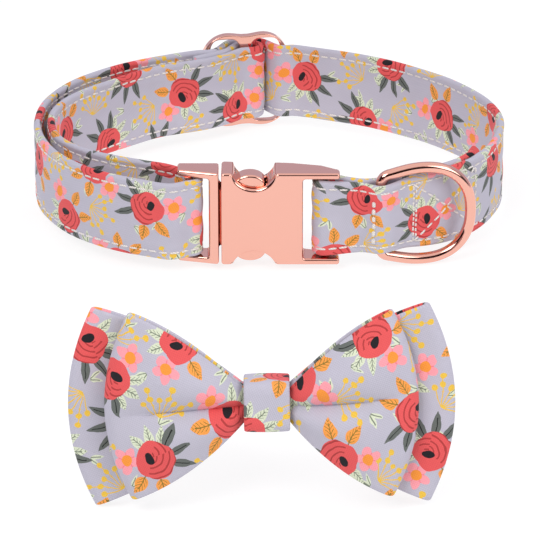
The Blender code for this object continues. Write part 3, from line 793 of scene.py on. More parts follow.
@dataclass(frozen=True)
class SewingThread:
    """Polyester sewing thread, twisted from two plies.

    Gives the eye a pale cream cord with a soft shine and fine slanted ridges, painted darker in
    the hollows between them as shade.
    """

    colour: str = "#F6F2EE"
    # Painted shade in the hollows between the plies
    shade: str = "#D2CBC6"
    ply: float = 0.45 * MM

    def build(self) -> bpy.types.Material:
        """Make the material."""
        made, shader = new_material("polyester_thread", {
            "Roughness": 0.5, "Specular IOR Level": 0.4, "Sheen Weight": 0.15})
        tree = made.node_tree
        place = add_node(tree, "TexCoord", out=3)
        slanted = add_node(tree, "Mapping", place, None, (0.6, 0.7, 0.8),
                           (math.tau / self.ply,) * 3)
        ridge(tree, shader, add_node(tree, "SeparateXYZ", slanted), self.shade, self.colour,
              0.4, 0.05 * MM)
        return made


@dataclass(frozen=True)
class WovenElastic:
    """Narrow woven elastic, with fine ribs along its length.

    Gives the eye a matt grey-lilac band with close parallel ridges, a rib's width
    apart in millimetres, painted darker in the hollows between them as shade.
    """

    colour: str = "#BDB9C8"
    # Painted shade in the hollows between the ribs
    shade: str = "#918DA0"
    rib: float = 0.6

    def build(self) -> bpy.types.Material:
        """Make the material."""
        made, shader = new_material("woven_elastic", {
            "Roughness": 0.9, "Specular IOR Level": 0.25, "Sheen Weight": 0.2})
        tree = made.node_tree
        across = add_node(tree, "SeparateXYZ", add_node(tree, "UVMap", uv_map="cloth"), out=1)
        ridge(tree, shader, product(tree, across, math.tau / self.rib), self.shade, self.colour,
              0.6, 0.1 * MM)
        return made


@dataclass(frozen=True)
class Finishes:
    """Materials of the whole collar."""

    cotton: bpy.types.Material
    metal: bpy.types.Material
    thread: bpy.types.Material
    elastic: bpy.types.Material


@dataclass
class Hardware:
    """Sizes that the strap and the metal pieces share, as in the plain solids."""

    strap_width: float = 25.0 * MM
    strap_thick: float = 2.4 * MM
    gap: float = 0.3 * MM
    bend_gap: float = 0.5 * MM
    oval_half_width: float = 73.6 * MM
    oval_depth: float = 60.0 * MM
    layer_spread: float = 15.5 * MM
    gather: float = 1.4 * MM
    gather_length: float = 22.0 * MM
    bar: float = 2.6 * MM
    buckle_left: float = -27.7 * MM
    buckle_inset: float = 6.0 * MM
    plug_length: float = 12.5 * MM
    plug_post: float = 3.0 * MM
    plug_slot: float = 1.8 * MM
    joint_gap: float = 0.8 * MM
    socket_plate: float = 24.7 * MM
    socket_slot: float = 2.7 * MM
    socket_arm_end: float = 2.9 * MM
    side_play: float = 0.5 * MM
    arm: float = 2.0 * MM
    ring_wire: float = 3.4 * MM
    ring_reach: float = 27.8 * MM
    ring_x: float = 33.9 * MM
    ring_lean: float = math.radians(4.0)
    slider_length: float = 30.3 * MM
    slider_thick: float = 2.8 * MM
    slider_end_bar: float = 3.0 * MM
    slider_centre_bar: float = 2.4 * MM
    slider_tail: float = 4.4 * MM
    slider_x: float = -8.0 * MM
    slider_stand_out: float = 2.4 * MM
    slider_rise: float = 0.3 * MM
    slider_turn: float = math.radians(9.0)
    # Depth share and squareness of the front, the back left and the back right quarter
    quarters: dict[str, tuple[float, float]] = field(default_factory=lambda: {
        "front": (1.0, 2.3), "back_left": (1.0, 2.0), "back_right": (1.04, 1.7)})
    # Angle round the oval, and distance inside the outline as a share of the wire
    ring_side: tuple[tuple[float, float], ...] = (
        (-57.0, 0.65), (-52.0, 0.52), (-44.0, 0.25), (-36.0, 0.06), (-28.0, 0.0))
    # Angle round the oval, and distance inside as a share of the layers' spread
    inner_layer: tuple[tuple[float, float], ...] = (
        (244.0, 1.0), (234.0, 0.97), (224.0, 0.86), (209.0, 0.61), (194.0, 0.41), (180.0, 0.34),
        (166.0, 0.42), (153.0, 0.56), (142.0, 0.64), (132.0, 0.63), (123.0, 0.58))

    def __post_init__(self) -> None:
        """Work out the sizes that follow."""
        self.pitch = self.strap_thick + self.gap
        self.fold_radius = self.bar / 2 + self.bend_gap + self.strap_thick / 2
        self.fold_outer = self.fold_radius + self.strap_thick / 2
        self.face_y = self.buckle_inset - self.oval_depth
        self.bar_y = self.face_y + self.fold_outer
        self.opening = self.strap_width + 2 * self.side_play
        self.buckle_height = self.opening + 2 * self.arm
        self.plug_right = self.buckle_left + self.plug_length
        self.plug_bar_x = self.plug_right - self.plug_post - self.plug_slot - self.fold_outer
        self.socket_left = self.plug_right + self.joint_gap
        self.socket_bar_x = (self.socket_left + self.socket_plate + self.socket_slot
                             + self.fold_outer)
        self.socket_right = self.socket_bar_x + self.bar / 2 + self.socket_arm_end
        self.bend_offset = self.slider_centre_bar / 2 + 0.42 * self.strap_thick
        self.slider_clear = self.slider_thick / 2 + self.bend_gap + self.strap_thick / 2
        self.slider_end = self.slider_length / 2 - self.slider_end_bar / 2

    def edge(self, turn: float) -> complex:
        """Give a point of the outline's oval.

        x is the half width times the cosine to the power 2/n and y is the
        quarter's depth times the sine to 2/n, each with its sign kept.
        """
        c, s = math.cos(turn), math.sin(turn)
        depth, power = self.quarters["front" if s < 0 else "back_left" if c < 0 else "back_right"]
        return complex(math.copysign(abs(c) ** (2 / power), c) * self.oval_half_width,
                       math.copysign(abs(s) ** (2 / power), s) * self.oval_depth * depth)

    def oval(self, angle: float, inward: float = 0.0) -> complex:
        """Give a point at a distance inside the outline, from an angle in degrees."""
        turn = math.radians(angle)
        step = math.radians(0.5)
        along = self.edge(turn + step) - self.edge(turn - step)
        return self.edge(turn) + 1j * along / abs(along) * inward

    def oval_y(self, x: float, quarter: str) -> float:
        """Give the outline's distance from the middle at a given x, in one quarter."""
        depth, power = self.quarters[quarter]
        share = abs(x / self.oval_half_width) ** power
        return self.oval_depth * depth * (1 - share) ** (1 / power)

    def ring_bar(self) -> complex:
        """Place the ring's straight bar, between the strap's two layers."""
        return complex(self.ring_x, -self.oval_y(self.ring_x, "front") + self.strap_thick
                       + self.bend_gap + self.ring_wire / 2)

    def ring_turn(self) -> float:
        """Give the ring's turn in plan, where it lies beside the strap.

        Beside the ring's far third, each place of the strap has a direction from the
        bar. The ring keeps the wire's half and the gap outside the outermost of
        them, and leans out a little more.
        """
        beside = [self.oval(angle, share * self.ring_wire) for angle, share in self.ring_side]
        beside += [self.oval(angle) for angle in range(-20, 8, 9)]
        away = smooth_line(np.array(beside), self.strap_thick) - self.ring_bar()
        reach = np.abs(away)
        far = (reach > 0.67 * self.ring_reach) & (reach < self.ring_reach + self.ring_wire)
        clear = np.arcsin((self.ring_wire / 2 + self.gap) / reach[far])
        return float(np.min(np.angle(away[far]) - clear)) - self.ring_lean

    def at_slider(self, along: float, out: float) -> complex:
        """Turn a place on the slider, along it and out of it, into plan."""
        centre = complex(self.slider_x,
                         self.oval_y(self.slider_x, "back_left") + self.slider_stand_out)
        return centre + complex(along, out) * np.exp(1j * self.slider_turn)

    def slider_bend(self, radius: float, start: float, end: float, count: int) -> list[complex]:
        """Bend round the slider's centre bar, on an arc set off towards the right."""
        spokes = self.arc(0j, radius, start, end, count)
        return [self.at_slider(spoke.real + self.bend_offset, spoke.imag) for spoke in spokes]

    @staticmethod
    def arc(centre: complex, radius: float, start: float, end: float, count: int) -> list[complex]:
        """List points on an arc, from one angle in degrees to another."""
        return list(centre + radius * np.exp(1j * np.radians(np.linspace(start, end, count + 1))))

    def route(self) -> Array:
        """List the chosen plan points of the strap's middle line, from end to end."""
        half = self.strap_thick / 2
        ring = self.ring_bar()
        past_ring = 1j * (self.ring_wire / 2 + self.bend_gap + half)
        socket_bar = complex(self.socket_bar_x, self.bar_y)
        plug_bar = complex(self.plug_bar_x, self.bar_y)
        seam = ring + 0.36 * (socket_bar - ring)
        past_seam = 0.6j * self.pitch

        route = [self.oval(angle, share * self.ring_wire + half + 1.06 * self.pitch)
                 for angle, share in reversed(self.ring_side)]
        route += [ring + past_ring, seam + past_seam]
        route += self.arc(socket_bar, self.fold_radius, 95.0, 265.0, 8)
        route += [seam - past_seam, ring - past_ring]
        route += [self.oval(angle, share * self.ring_wire + half)
                  for angle, share in self.ring_side]
        route += [self.oval(angle, half) for angle in range(-20, 75, 9)]
        route += self.slider_main_pass()
        route += [self.oval(angle, half) for angle in range(116, 237, 10)]
        route += [self.oval(243.0, half), self.oval(249.0, half)]
        route += self.arc(plug_bar, self.fold_radius, -85.0, 40.0, 6)
        route += [self.oval(angle, share * self.layer_spread) for angle, share in self.inner_layer]
        return np.array(route + self.slider_fold_pass())

    def slider_main_pass(self) -> list[complex]:
        """Take the strap out through the right window and in through the left one."""
        at = self.at_slider
        thick, first, end = self.strap_thick, self.slider_clear, self.slider_end
        second = first + 1.04 * self.pitch
        window = self.slider_length / 2 - self.slider_end_bar
        bar = -self.slider_centre_bar / 2
        route = [at(end + 0.83 * thick, -first), at(end, -first),
                 at(window - 0.5 * thick, 0.85 * -first)]
        route += self.slider_bend(second, 33.0, 90.0, 4)
        return route + [at(bar - 0.25 * thick, second), at(bar - 1.3 * thick, 0.84 * second),
                        at(0.58 * thick - window, 0.84 * -first), at(-end, -first),
                        at(-end - 0.83 * thick, -first)]

    def slider_fold_pass(self) -> list[complex]:
        """Fold the strap's end round the centre bar and lay it against itself."""
        at = self.at_slider
        first, end, pitch = self.slider_clear, self.slider_end, self.pitch
        bar = -self.slider_centre_bar / 2
        route = [at(-end, -first - 2.7 * pitch), at(-end / 2, -first - 1.4 * pitch),
                 at(bar, 1.03 * -first)]
        route += self.slider_bend(first, -90.0, 90.0, 8)
        return route + [at(bar, first), at(bar - 0.58 * self.strap_thick, 0.7 * first),
                        at(-end / 2, -first), at(-0.75 * end, -first - 0.83 * pitch),
                        at(-end, -first - 1.4 * pitch),
                        at(-end - self.slider_tail, -first - 1.93 * pitch)]


def smooth_line(points: Array, fine: float) -> Array:
    """Run a centripetal Catmull-Rom curve through points in plan.

    Between two points the curve blends three straight lines twice over, with
    knots set apart by the square root of the distance between the points.

    Args:
        points: the chosen points.
        fine: rough distance between the curve's points.

    Returns:
        Points along the curve.
    """
    ends = np.concatenate([[2 * points[0] - points[1]], points, [2 * points[-1] - points[-2]]])
    pieces = [points[:1]]
    for a, b, c, d in zip(ends, ends[1:], ends[2:], ends[3:]):
        t1 = math.sqrt(abs(b - a))
        t2 = t1 + math.sqrt(abs(c - b))
        t3 = t2 + math.sqrt(abs(d - c))
        count = max(2, round(abs(c - b) / fine))
        t = t1 + (t2 - t1) * np.arange(1, count + 1) / count
        ab = a + (b - a) * t / t1
        bc = b + (c - b) * (t - t1) / (t2 - t1)
        cd = c + (d - c) * (t - t2) / (t3 - t2)
        abc = ab + (bc - ab) * t / t2
        bcd = bc + (cd - bc) * (t - t1) / (t3 - t1)
        pieces.append(abc + (bcd - abc) * (t - t1) / (t2 - t1))
    return np.concatenate(pieces)


def sleeve_profile(width: float, thick: float, flat: int, bend: int) -> tuple[Array, Array]:
    """Draw the cross-section of a flat sleeve of cloth with round edges.

    It starts at the lower edge, goes up the outer face, over the upper edge and
    down the inner face. Each edge is half a circle as wide as the sleeve is thick.

    Args:
        width: height of the sleeve as it stands.
        thick: its thickness.
        flat: points on each face.
        bend: steps round each edge, an even number.

    Returns:
        Place across the sleeve and distance from its middle, for a closed line
        whose last point is its first again.
    """
    radius = thick / 2
    reach = width / 2 - radius
    face = np.linspace(-reach, reach, flat)
    turn = np.linspace(-np.pi / 2, 0.0, bend // 2, endpoint=False)
    crown = np.linspace(0.0, np.pi, bend + 1)[1:-1]
    across = [radius * np.sin(turn) - reach, face, radius * np.sin(crown) + reach, -face,
              radius * np.sin(-turn[::-1] + np.pi) - reach]
    out = [radius * np.cos(turn), np.full(flat, radius), radius * np.cos(crown),
           np.full(flat, -radius), -radius * np.cos(turn[::-1])]
    return np.concatenate(across), np.concatenate(out)


@dataclass
class Piece:
    """A piece made from the shared sizes, at a place in plan and a middle height."""

    sizes: Hardware
    place: complex
    height: float


@dataclass
class Strap(Piece):
    """The strap: a stitched sleeve of printed cotton on a ribbon's route."""

    step: float = 0.8 * MM
    seam_inset: float = 2.5 * MM
    seam_margin: float = 1.5 * MM
    seam_dent: float = 0.42 * MM
    seam_width: float = 0.7 * MM
    stitch: float = 2.75 * MM
    stitch_gap: float = 0.45 * MM
    # Radius of the sewing thread, and of the tack's thicker one
    thread: float = 0.34 * MM
    tack: float = 0.5 * MM
    # Points on each face, and steps round each edge
    profile: tuple[int, int] = (25, 8)
    # Places along the outer layer, from where it leaves the socket's bar
    tack_at: float = 15.3 * MM
    box_from: float = 28.7 * MM
    box_to: float = 52.0 * MM
    box_double: float = 0.9 * MM
    # Height of each ripple of the cloth, its length over 2 pi, and its slant
    ripples: tuple[tuple[float, float, float], ...] = (
        (0.10 * MM, 6.1 * MM, 2.0), (0.07 * MM, 3.3 * MM, -1.0))
    # Where on the printed cloth it is cut from, in millimetres
    print_shift: tuple[float, float] = (3.0, 6.0)

    def __post_init__(self) -> None:
        """Work out the seams' place, the route and its directions."""
        self.seam = self.sizes.strap_width / 2 - self.seam_inset
        line = smooth_line(self.sizes.route(), 0.1 * self.sizes.strap_thick)
        run = run_length(line)
        self.length = float(run[-1])
        self.run = np.linspace(0.0, self.length, round(self.length / self.step))
        self.line = np.interp(self.run, run, line)
        ahead = np.gradient(self.line)
        self.side = -1j * ahead / np.abs(ahead)

    def at(self, run: Array, across: Array, out: Array) -> Array:
        """Place points of the sleeve in space.

        A point lies beside the route's middle line by its distance out, and at its
        place across, drawn in where the strap passes through the ring. The dent of
        each seam, a pucker at each stitch and a slow ripple are added.

        Args:
            run: length along the strap.
            across: place across it, from its middle.
            out: distance from its middle line, outwards.

        Returns:
            Points in space.
        """
        plan = np.interp(run, self.run, self.line)
        away = np.clip(np.abs(plan.real - self.sizes.ring_x) / self.sizes.gather_length, 0, 1)
        fade = np.where(plan.imag < 0, 0.5 + 0.5 * np.cos(np.pi * away), 0.0)
        beside = np.exp(-((np.abs(across) - self.seam) / self.seam_width) ** 2)
        pucker = 0.5 + 0.5 * np.cos(2 * np.pi * run / (self.stitch + self.stitch_gap))
        dent = beside * self.seam_dent * (0.7 + 0.5 * pucker)
        out = out - np.sign(out) * dent
        out = out + sum(rise * np.sin(run / length + slant * across / self.seam_inset)
                        for rise, length, slant in self.ripples)
        plan = plan + np.interp(run, self.run, self.side) * out + self.place
        across = across * (1 - fade * self.sizes.gather / (self.sizes.strap_width / 2))
        return np.stack([plan.real, plan.imag, across + self.height + 0 * run], -1)

    def build(self, finishes: Finishes) -> None:
        """Make the sleeve, then its stitches."""
        across, out = sleeve_profile(self.sizes.strap_width, self.sizes.strap_thick,
                                     *self.profile)
        points = self.at(self.run[:, None], across[:-1], out[:-1])
        rows, columns = points.shape[:2]
        quads, corners = grid_faces(rows, columns, False, True)
        round_it = run_length(across + 1j * out)
        along, up = np.meshgrid(self.run, round_it, indexing="ij")
        uv = np.stack([along / MM + self.print_shift[0], up / MM + self.print_shift[1]], -1)
        uv = uv.reshape(-1, 2)
        ends = [list(range(columns)), list(range((rows - 1) * columns, rows * columns))]
        end_uv = [uv[:columns], uv[(rows - 1) * (columns + 1):][:columns]]
        cloth = mesh_object("strap_cloth", points, quads.tolist() + ends,
                            np.concatenate([uv[corners.ravel()], *end_uv]))
        dress(cloth, finishes.cotton, Body.COLLAR, Slot.STRAP, "strap")
        stitches = self.stitch_mesh(np.concatenate([self.edge_seams(), self.cross_seams()]))
        dress(stitches, finishes.thread, Body.COLLAR, Slot.STRAP)

    def sewn_line(self, start: tuple[float, float], end: tuple[float, float], side: Side,
                  radius: float, long: float, apart: float) -> Array:
        """Split a line on the strap into stitches.

        Args:
            start: length along the strap and place across it.
            end: the same for the line's other end.
            side: face that the stitches lie on.
            radius: the thread's.
            long: length of a stitch.
            apart: gap between stitches.

        Returns:
            A row for each stitch: its start, its end, side and radius.
        """
        first, last = np.array(start), np.array(end)
        total = np.linalg.norm(last - first)
        count = max(1, int((total + apart) / (long + apart)))
        begin = np.arange(count)[:, None] * (long + apart) / total
        lines = np.hstack([first + (last - first) * begin,
                           first + (last - first) * (begin + long / total)])
        return np.column_stack([lines, np.full((count, 2), (side.value, radius))])

    def edge_seams(self) -> Array:
        """List the stitches along both edges, on both faces."""
        start, end = self.seam_margin, self.length - self.seam_margin
        return np.concatenate([
            self.sewn_line((start, up), (end, up), side, self.thread, self.stitch,
                           self.stitch_gap)
            for up in (self.seam, -self.seam) for side in Side])

    def cross_seams(self) -> Array:
        """List the tacks that close the ring's tunnel, and the cross-stitched box."""
        start = self.outer_from()
        reach = self.seam
        tack, near, far = start + self.tack_at, start + self.box_from, start + self.box_to
        # Both ends of each line, its thread, the length of a stitch and the gap
        seams = (
            ((tack, -0.85 * reach), (tack, 0.9 * reach), self.tack, 2.2, 0.5),
            ((near, -reach), (near, reach), self.thread, 1.5, 0.3),
            ((near + self.box_double, -reach), (near + self.box_double, reach), self.thread,
             1.2, 0.5),
            ((near, -reach), (far, reach), self.thread, 2.4, 0.7),
            ((near, reach), (far, -reach), self.thread, 2.4, 0.7),
            ((far, -reach), (far, reach), self.thread, 2.0, 0.5))
        return np.concatenate([
            self.sewn_line(first, last, Side.OUTER, radius, long * MM, apart * MM)
            for first, last, radius, long, apart in seams])

    def outer_from(self) -> float:
        """Give the length at which the strap leaves the socket's bar on the outer side."""
        turned = (self.line.real > self.sizes.socket_bar_x) & (self.line.imag < self.sizes.bar_y)
        return float(self.run[np.argmax(turned)])

    def stitch_mesh(self, rows: Array) -> bpy.types.Object:
        """Lay a small rounded capsule for each stitch on the sleeve.

        A capsule is five rings of six points. Its rings swell from a point to the
        thread's radius and back, and it is three quarters as high as it is wide.

        Args:
            rows: the stitches, as sewn_line lists them.

        Returns:
            All the stitches as one object.
        """
        along = np.array([0.0, 0.14, 0.5, 0.86, 1.0])[:, None]
        swell = np.array([0.0, 0.85, 1.0, 0.85, 0.0])[:, None]
        turn = (np.arange(6) * np.pi / 3)[None, :]
        start, end, side, radius = np.split(rows, (2, 4, 5), axis=1)
        line = end - start
        beside = unit(np.stack([-line[:, 1], line[:, 0]], 1))
        wide = radius[:, None] * swell * np.cos(turn)
        flat = (start[:, None, None] + line[:, None, None] * along[..., None]
                + beside[:, None, None] * wide[..., None])
        lift = radius[:, None] * (0.75 * swell * np.sin(turn) + 0.5 * swell)
        out = side[:, None] * (self.sizes.strap_thick / 2 + lift)
        points = self.at(flat[..., 0], flat[..., 1], out)
        quads, _ = grid_faces(5, 6, False, True)
        faces = quads[None] + 5 * 6 * np.arange(len(rows))[:, None, None]
        return mesh_object("strap_stitches", points, faces.reshape(-1, 4).tolist())


@dataclass
class Buckle(Piece):
    """The side-release buckle: a socket with thumb scallops, and a plug with two lugs."""

    plug_depth: float = 9.2 * MM
    plug_recess: float = 3.1 * MM
    socket_depth: float = 10.5 * MM
    wall: float = 1.6 * MM
    rim: float = 3.5 * MM
    scallop_width: float = 12.7 * MM
    # Depths of the upper and of the lower scallop
    scallop_depths: tuple[float, float] = (5.0 * MM, 4.2 * MM)
    scallop_flare: float = 0.4 * MM
    lug_width: float = 9.9 * MM
    lug_rise: float = 4.3 * MM
    lug_shift: float = -1.2 * MM
    lug_edge: float = 0.8 * MM
    lug_power: float = 2.2
    edge: float = 0.78 * MM
    cavity_share: float = 0.93
    lug_points: int = 64
    bore_points: int = 72
    bar_points: int = 24
    # Place along the socket and depth of its back, as shares of its size
    socket_back: tuple[tuple[float, float], ...] = (
        (1.0, 0.38), (0.96, 0.45), (0.85, 0.7), (0.6, 0.89), (0.35, 0.97), (0.0, 1.0))

    def __post_init__(self) -> None:
        """Work out the sizes that follow."""
        self.front = self.sizes.face_y + self.place.imag
        self.left = self.sizes.socket_left + self.place.real
        self.right = self.sizes.socket_right + self.place.real
        self.lug_x = self.left + self.rim + self.scallop_width / 2
        self.top = self.height + self.sizes.buckle_height / 2
        self.bottom = self.height - self.sizes.buckle_height / 2
        self.cavity_near = self.front + self.wall
        self.cavity_far = self.front + self.cavity_share * self.socket_depth - self.wall

    def build(self, finishes: Finishes) -> None:
        """Make both halves."""
        dress(self.socket(), finishes.metal, Body.COLLAR, Slot.METAL, "buckle_socket")
        dress(self.plug(), finishes.metal, Body.COLLAR, Slot.METAL, "buckle_plug")

    def block(self, left: float, right: float, near: float, far: float,
              half: float) -> bpy.types.Object:
        """Make a block that reaches half its height above and below the middle."""
        outline = np.array([complex(left, near), complex(right, near), complex(right, far),
                            complex(left, far)])
        return prism("tool", outline, self.height - half, self.height + half)

    def strap_bar(self, x: float) -> bpy.types.Object:
        """Make the upright round bar that the strap turns round."""
        centre = complex(x, self.sizes.bar_y) + self.place
        radius = self.sizes.bar / 2
        outline = centre + superellipse(radius, radius, 2.0, self.bar_points)
        half = self.sizes.opening / 2 + self.sizes.arm / 2
        return prism("tool", outline, self.height - half, self.height + half)

    def socket(self) -> bpy.types.Object:
        """Make the socket.

        Its plan is a straight front and a back that falls away to the right. A
        window, the scallops and the cavity are cut from it, and the bar joined.

        Returns:
            The socket.
        """
        length = self.right - self.left
        back = [complex(self.left + along * length, self.front + depth * self.socket_depth)
                for along, depth in self.socket_back]
        front = [complex(self.left, self.front), complex(self.right, self.front)]
        outline = np.array(front + back)
        body = prism("socket", outline, self.bottom, self.top)

        window_left = self.left + self.sizes.socket_plate
        half = self.sizes.opening / 2
        deep = 2 * self.socket_depth
        combine(body, self.block(window_left, self.right + deep, self.front - deep,
                                 self.front + deep, half))
        for side, depth in zip((1, -1), self.scallop_depths):
            combine(body, self.scallop(side, depth))
        cavity_end = self.lug_x + self.scallop_width / 2 + self.rim
        combine(body, self.block(self.left - deep, cavity_end, self.cavity_near,
                                 self.cavity_far, half - self.wall))
        combine(body, self.strap_bar(self.sizes.socket_bar_x), "UNION")
        soften(body, self.edge, 4)
        return body

    def scallop(self, side: int, depth: float) -> bpy.types.Object:
        """Make the cutter of a thumb scallop: a round bore that flares to the front.

        Args:
            side: 1 for the upper scallop, -1 for the lower one.
            depth: how deep it is.

        Returns:
            The cutter.
        """
        radius = (self.scallop_width ** 2 / 4 + depth ** 2) / (2 * depth)
        centre_z = self.height + side * (self.sizes.buckle_height / 2 - depth + radius)
        depths = np.array([-self.socket_depth, 0.0, self.wall, 2 * self.socket_depth])
        radii = radius + self.scallop_flare * np.array([1.0, 1.0, 0.0, 0.0])
        steps = self.bore_points
        turn = np.linspace(0, 2 * np.pi, steps, endpoint=False)
        points = np.stack([self.lug_x + radii[:, None] * np.cos(turn),
                           np.broadcast_to((self.front + depths)[:, None], (4, steps)),
                           centre_z + radii[:, None] * np.sin(turn)], -1)
        quads, _ = grid_faces(4, steps, False, True)
        caps = [list(range(steps)), list(range(3 * steps, 4 * steps))]
        return mesh_object("tool", points, quads.tolist() + caps)

    def plug(self) -> bpy.types.Object:
        """Make the plug: a frame set back on its left, the bar, the tongue and the lugs.

        Returns:
            The plug.
        """
        left = self.sizes.buckle_left + self.place.real
        right = self.sizes.plug_right + self.place.real
        back = self.front + self.plug_depth
        outline = np.array([complex(left, self.front + self.plug_recess),
                            complex(right, self.front), complex(right, back),
                            complex(left, back)])
        body = prism("plug", outline, self.bottom, self.top)
        half = self.sizes.opening / 2
        deep = 2 * self.plug_depth
        combine(body, self.block(left - deep, right - self.sizes.plug_post, self.front - deep,
                                 self.front + deep, half))
        combine(body, self.strap_bar(self.sizes.plug_bar_x), "UNION")

        near, far = self.cavity_near + self.sizes.gap, self.cavity_far - self.sizes.gap
        # Height of each lug's middle over the buckle's; the tongue ends at the upper one
        rises = [self.sizes.buckle_height / 2 - depth - 2 * self.sizes.gap
                 for depth in self.scallop_depths]
        combine(body, self.block(right - self.sizes.plug_post / 2,
                                 self.lug_x + self.scallop_width / 2, near, far, rises[0]),
                "UNION")
        soften(body, self.edge, 4)
        body.modifiers.clear()
        oval = superellipse(self.lug_width / 2, self.lug_rise, self.lug_power, self.lug_points)
        for side, rise in zip((1, -1), rises):
            middle = complex(self.lug_x + self.lug_shift, self.height + side * rise)
            lug = prism("lug", oval + middle, near, far)
            turn_to_front(lug)
            soften(lug, self.lug_edge, 5)
            lug.modifiers.clear()
            combine(body, lug, "UNION")
        body.data.shade_smooth()
        body.data.set_sharp_from_angle(angle=math.radians(50.0))
        body.modifiers.new("normals", "WEIGHTED_NORMAL").keep_sharp = True
        return body


@dataclass
class LeashRing(Piece):
    """The leash ring: round wire with a straight bar, bent as half a superellipse."""

    half_height: float = 15.0 * MM
    power: float = 2.3
    corner_share: float = 0.8
    widest_share: float = 0.46
    line_points: int = 220
    wire_points: int = 28

    def line(self) -> Array:
        """List the wire's middle line in its own plane: out from the bar, and up.

        From the bar's rounded ends the wire rises to its full half height and comes
        round as half a superellipse. The kinks are averaged out over a short run.

        Returns:
            Evenly spaced points of the closed line.
        """
        inside = self.sizes.strap_width - 2 * self.sizes.gather + 2 * self.sizes.bend_gap
        bar_half = inside / 2 + self.sizes.ring_wire / 2
        corner = self.corner_share * self.sizes.ring_wire
        widest = self.widest_share * self.sizes.ring_reach
        bend = np.linspace(0, np.pi / 2, 12)
        share = np.linspace(0, 0.95, 12)[1:]
        far = np.linspace(0, np.pi / 2, 60)
        upper = np.concatenate([
            corner * (1 - np.cos(bend)) + 1j * (bar_half - corner * (1 - np.sin(bend))),
            corner + (widest - corner) * share
            + 1j * (bar_half + (self.half_height - bar_half) * np.sin(np.pi / 2 * share)),
            widest + (self.sizes.ring_reach - widest) * np.sin(far) ** (2 / self.power)
            + 1j * self.half_height * np.abs(np.cos(far)) ** (2 / self.power)])
        closed = np.concatenate([upper, np.conj(upper[::-1]), upper[:1]])
        run = run_length(closed)
        even = np.linspace(0, run[-1], self.line_points, endpoint=False)
        line = np.interp(even, run, closed)
        return sum(np.roll(line, shift) for shift in range(-2, 3)) / 5

    def build(self, finishes: Finishes) -> None:
        """Carry a round profile along the line, in the ring's upright plane."""
        line = self.line()
        ahead = np.roll(line, -1) - np.roll(line, 1)
        side = 1j * ahead / np.abs(ahead)
        turn = np.linspace(0, 2 * np.pi, self.wire_points, endpoint=False)
        radius = self.sizes.ring_wire / 2
        flat = line[:, None] + side[:, None] * radius * np.cos(turn)
        thick = np.broadcast_to(radius * np.sin(turn), flat.shape)
        plan = self.place + (flat.real - 1j * thick) * np.exp(1j * self.sizes.ring_turn())
        points = np.stack([plan.real, plan.imag, flat.imag + self.height], -1)
        quads, _ = grid_faces(*flat.shape, True, True)
        ring = mesh_object("leash_ring", points, quads.tolist())
        dress(ring, finishes.metal, Body.RING, Slot.METAL, "d_ring")


@dataclass
class Slider(Piece):
    """The slider: a waisted rounded plate with an arched window on each side."""

    rail: float = 3.2 * MM
    play: float = 1.0 * MM
    waist: float = 1.3 * MM
    waist_share: float = 0.17
    crown: float = 14.6 * MM
    edge: float = 0.75 * MM
    outer_power: float = 3.0
    outer_points: int = 160
    window_power: float = 4.2
    window_points: int = 96

    def build(self, finishes: Finishes) -> None:
        """Make the plate, cut its windows, round its edges and set it in place."""
        sizes = self.sizes
        half_height = sizes.strap_width / 2 + self.play + self.rail
        outer = superellipse(sizes.slider_length / 2, half_height, self.outer_power,
                             self.outer_points)
        dip = self.waist * np.exp(-(outer.real / (self.waist_share * sizes.slider_length)) ** 2)
        dip *= np.abs(outer.imag) > half_height / 4
        outer = outer.real + 1j * np.sign(outer.imag) * (np.abs(outer.imag) - dip)
        half_thick = sizes.slider_thick / 2
        plate = prism("slider_plate", outer, -half_thick, half_thick)
        window = (sizes.slider_length / 2 - sizes.slider_end_bar - sizes.slider_centre_bar / 2) / 2
        for side in (1, -1):
            hole = superellipse(window, self.crown, self.window_power, self.window_points)
            hole += side * (sizes.slider_centre_bar / 2 + window)
            combine(plate, prism("tool", hole, -2 * half_thick, 2 * half_thick))
        soften(plate, self.edge, 5, 50.0, clamp=True)
        turn_to_front(plate)
        centre = sizes.at_slider(0.0, 0.0) + self.place
        middle = Vector((centre.real, centre.imag, self.height + sizes.slider_rise))
        turn = Matrix.Rotation(sizes.slider_turn, 4, "Z")
        plate.data.transform(Matrix.Translation(middle) @ turn)
        dress(plate, finishes.metal, Body.COLLAR, Slot.METAL, "slider")


